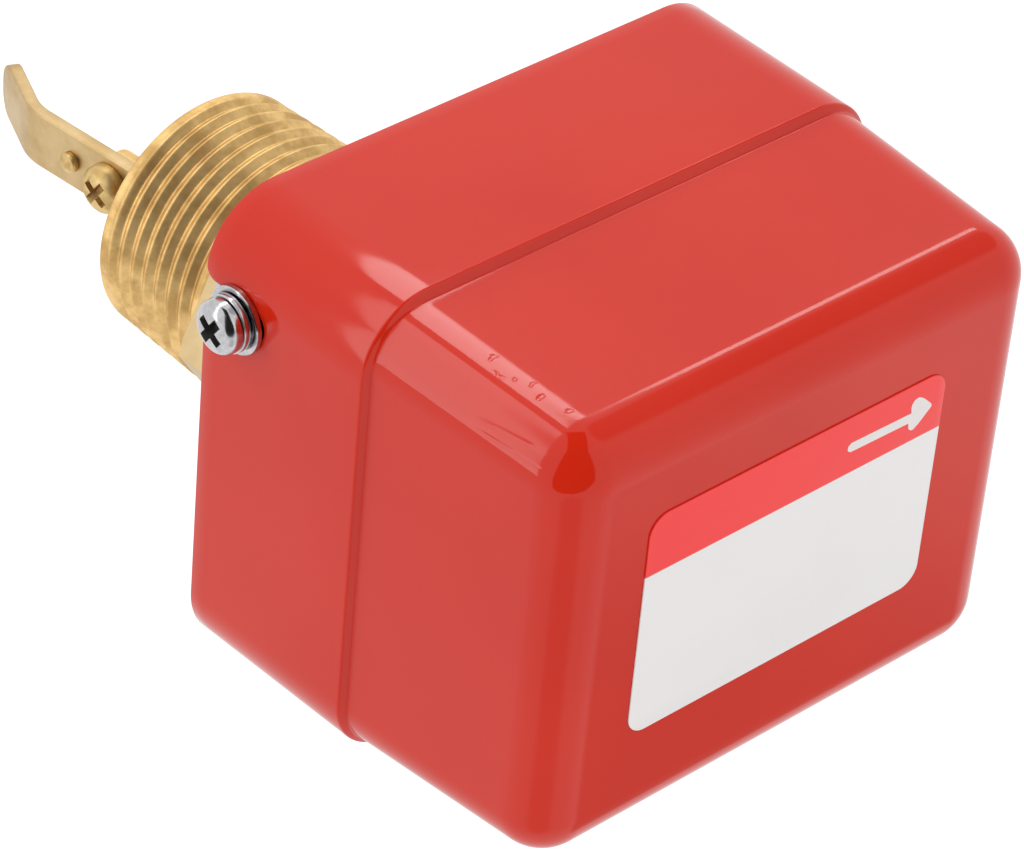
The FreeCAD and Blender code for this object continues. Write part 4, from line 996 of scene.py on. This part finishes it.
def lean_matrix():
    """Turns a piece drawn upright about the pivot into the paddle's resting lean."""
    return (Matrix.Translation((0, 0, PIVOT * MM)) @ Matrix.Rotation(LEAN, 4, "Y")
            @ Matrix.Translation((0, 0, -PIVOT * MM)))


def blade_line(count):
    """Lists (x, z, heading, distance to the tip) down the middle of the strip."""
    middle = BEND_RADIUS - BLADE_GAUGE / 2
    hub = BEND_RADIUS + BLADE_FRONT
    straight, bend = BLADE_TOP - BEND_LEVEL, middle * BEND_ANGLE
    total = straight + bend + TAIL
    line = []
    for step in range(count + 1):
        far = total * (1 - (1 - step / count) ** 1.7)           # closer together towards the tip
        if far < straight:
            x, z, heading = BLADE_FRONT + BLADE_GAUGE / 2, BLADE_TOP - far, 0.0
        elif far < straight + bend:
            heading = (far - straight) / middle
            x, z = hub - middle * math.cos(heading), BEND_LEVEL - middle * math.sin(heading)
        else:
            heading, tail = BEND_ANGLE, far - straight - bend
            x = hub - middle * math.cos(heading) + tail * math.sin(heading)
            z = BEND_LEVEL - middle * math.sin(heading) - tail * math.cos(heading)
        line.append((x, z, heading, total - far))
    return line


def blade_piece():
    """Sweeps a rounded strip section along the blade's line and caps it."""
    tip_round, edge = 2.7, 0.28
    points = []
    section = [(y_way, n_way, c * edge, s * edge)
               for side, (y_way, n_way) in enumerate(QUARTERS) for c, s in arc(math.pi / 2 * side, 4)]
    line = blade_line(70)
    for x, z, heading, left in line:
        half = BLADE_WIDTH / 2
        if left < tip_round:
            half -= tip_round - math.sqrt(max(tip_round ** 2 - (tip_round - left) ** 2, 0.0))
        across = Vector((-math.cos(heading), 0, -math.sin(heading)))
        for y_way, n_way, round_y, round_n in section:
            y = y_way * (half - edge) + round_y
            off = n_way * (BLADE_GAUGE / 2 - edge) + round_n
            points.append((Vector((x, y, z)) + across * off) * MM)
    piece = piece_from("paddle_blade_dressed", points, capped(len(line), len(section)), rolled_brass, 50)
    piece.data.transform(lean_matrix())
    return piece


blade = blade_piece()
seat(blade, "paddle", ["paddle_blade"])

# %% Fit the blade's two screws


def across_rod(aside, level):
    """Gives the place of a screw laid across the rod, its head on the blade, leaned with the paddle."""
    return (lean_matrix() @ Matrix.Translation(Vector((BLADE_FRONT, aside, level)) * MM)
            @ Matrix.Rotation(-math.pi / 2, 4, "Y"))


BIG_SCREW, SMALL_SCREW = (-0.35, -30.6), (-0.1, -37.3)          # to the side, and the level
# the cross recess takes the darker brass, painted shade in the hollow
big_screw = pan_head("blade_screw_dressed", radius=3.2, height=2.5, shank=1.65, length=5.3,
                     finish=screw_brass, inside=stained_brass, wing=1.1, reach=0.70, sink=0.5)
big_screw.data.transform(across_rod(*BIG_SCREW))
seat(big_screw, "paddle", ["blade_screw"])
little_screw = turned("small_screw_dressed", [
    (0.01, -3.0), (0.75, -3.0), (0.8, 0.0), (1.25, 0.0), (1.35, 0.1), (1.35, 0.6), (1.15, 0.85), (0.7, 0.98),
    (0.01, 1.0)], screw_brass, 40)
little_screw.data.transform(across_rod(*SMALL_SCREW))
seat(little_screw, "paddle", ["small_screw"])

# %% [markdown]
# ## The pieces that give way
# When the paddle swings, the bellows bends with the rod and the range spring is pressed shorter by the lever.
# Both keep their imported shape at rest, as copies of the imported solids.

# %% Copy the bellows and the range spring


def supple_copy(node, finish):
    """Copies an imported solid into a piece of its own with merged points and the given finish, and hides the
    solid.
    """
    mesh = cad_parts[node].data.copy()
    shape = bmesh.new()
    shape.from_mesh(mesh)
    bmesh.ops.remove_doubles(shape, verts=shape.verts, dist=0.001 * MM)
    shape.to_mesh(mesh)
    shape.free()
    mesh.materials.clear()
    mesh.materials.append(finish)
    shade(mesh)
    piece = set_up(f"{node}_supple", mesh)
    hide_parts(node)
    return piece


bellows = supple_copy("bellows", bellows_bronze)
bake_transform(bellows)
spring = supple_copy("range_spring", spring_steel)
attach(spring, "housing")
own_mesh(spring)
print("supple:", bellows.name, spring.name)

# %% [markdown]
# ## The solids that stay
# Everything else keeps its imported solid, whose shape is already right, and only takes its finish: the
# tray, the rod, and the lever and snap switch that the cover hides. The cover, the label, the bellows and
# the range spring take theirs too, although a dressed piece stands for each of them.

# %% Coat the remaining solids
COATS = {
    "turned_brass": ["paddle_rod", "lock_nut", "pivot_sleeve", "range_nut", "small_nut", "earth_washer"],
    "rolled_brass": ["terminals"],
    "bellows_bronze": ["bellows"],
    "zinc_sheet": ["base_tray", "clinch_nuts", "lever_plate", "rod_nut", "switch_bracket"],
    "spring_steel": ["pivot_pin", "leaf_pin", "switch_leaf", "range_spring"],
    "bright_plate": ["bracket_screws", "range_screw", "switch_screws", "terminal_screws", "earth_screw"],
    "gasket_rubber": ["body_gasket"],
    "fibre_sheet": ["insulating_sheet"],
    "brown_phenolic": ["switch_case"],
    "red_button": ["switch_plunger"],
    "black_nylon": ["conduit_bush", "bush_nut"],
    "red_enamel": ["cover"],
    "label_film": ["label"],
}
for coat, names in COATS.items():
    for name in names:
        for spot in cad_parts[name].material_slots:
            spot.material = bpy.data.materials[coat]
print("coated", sum(len(names) for names in COATS.values()), "solids")
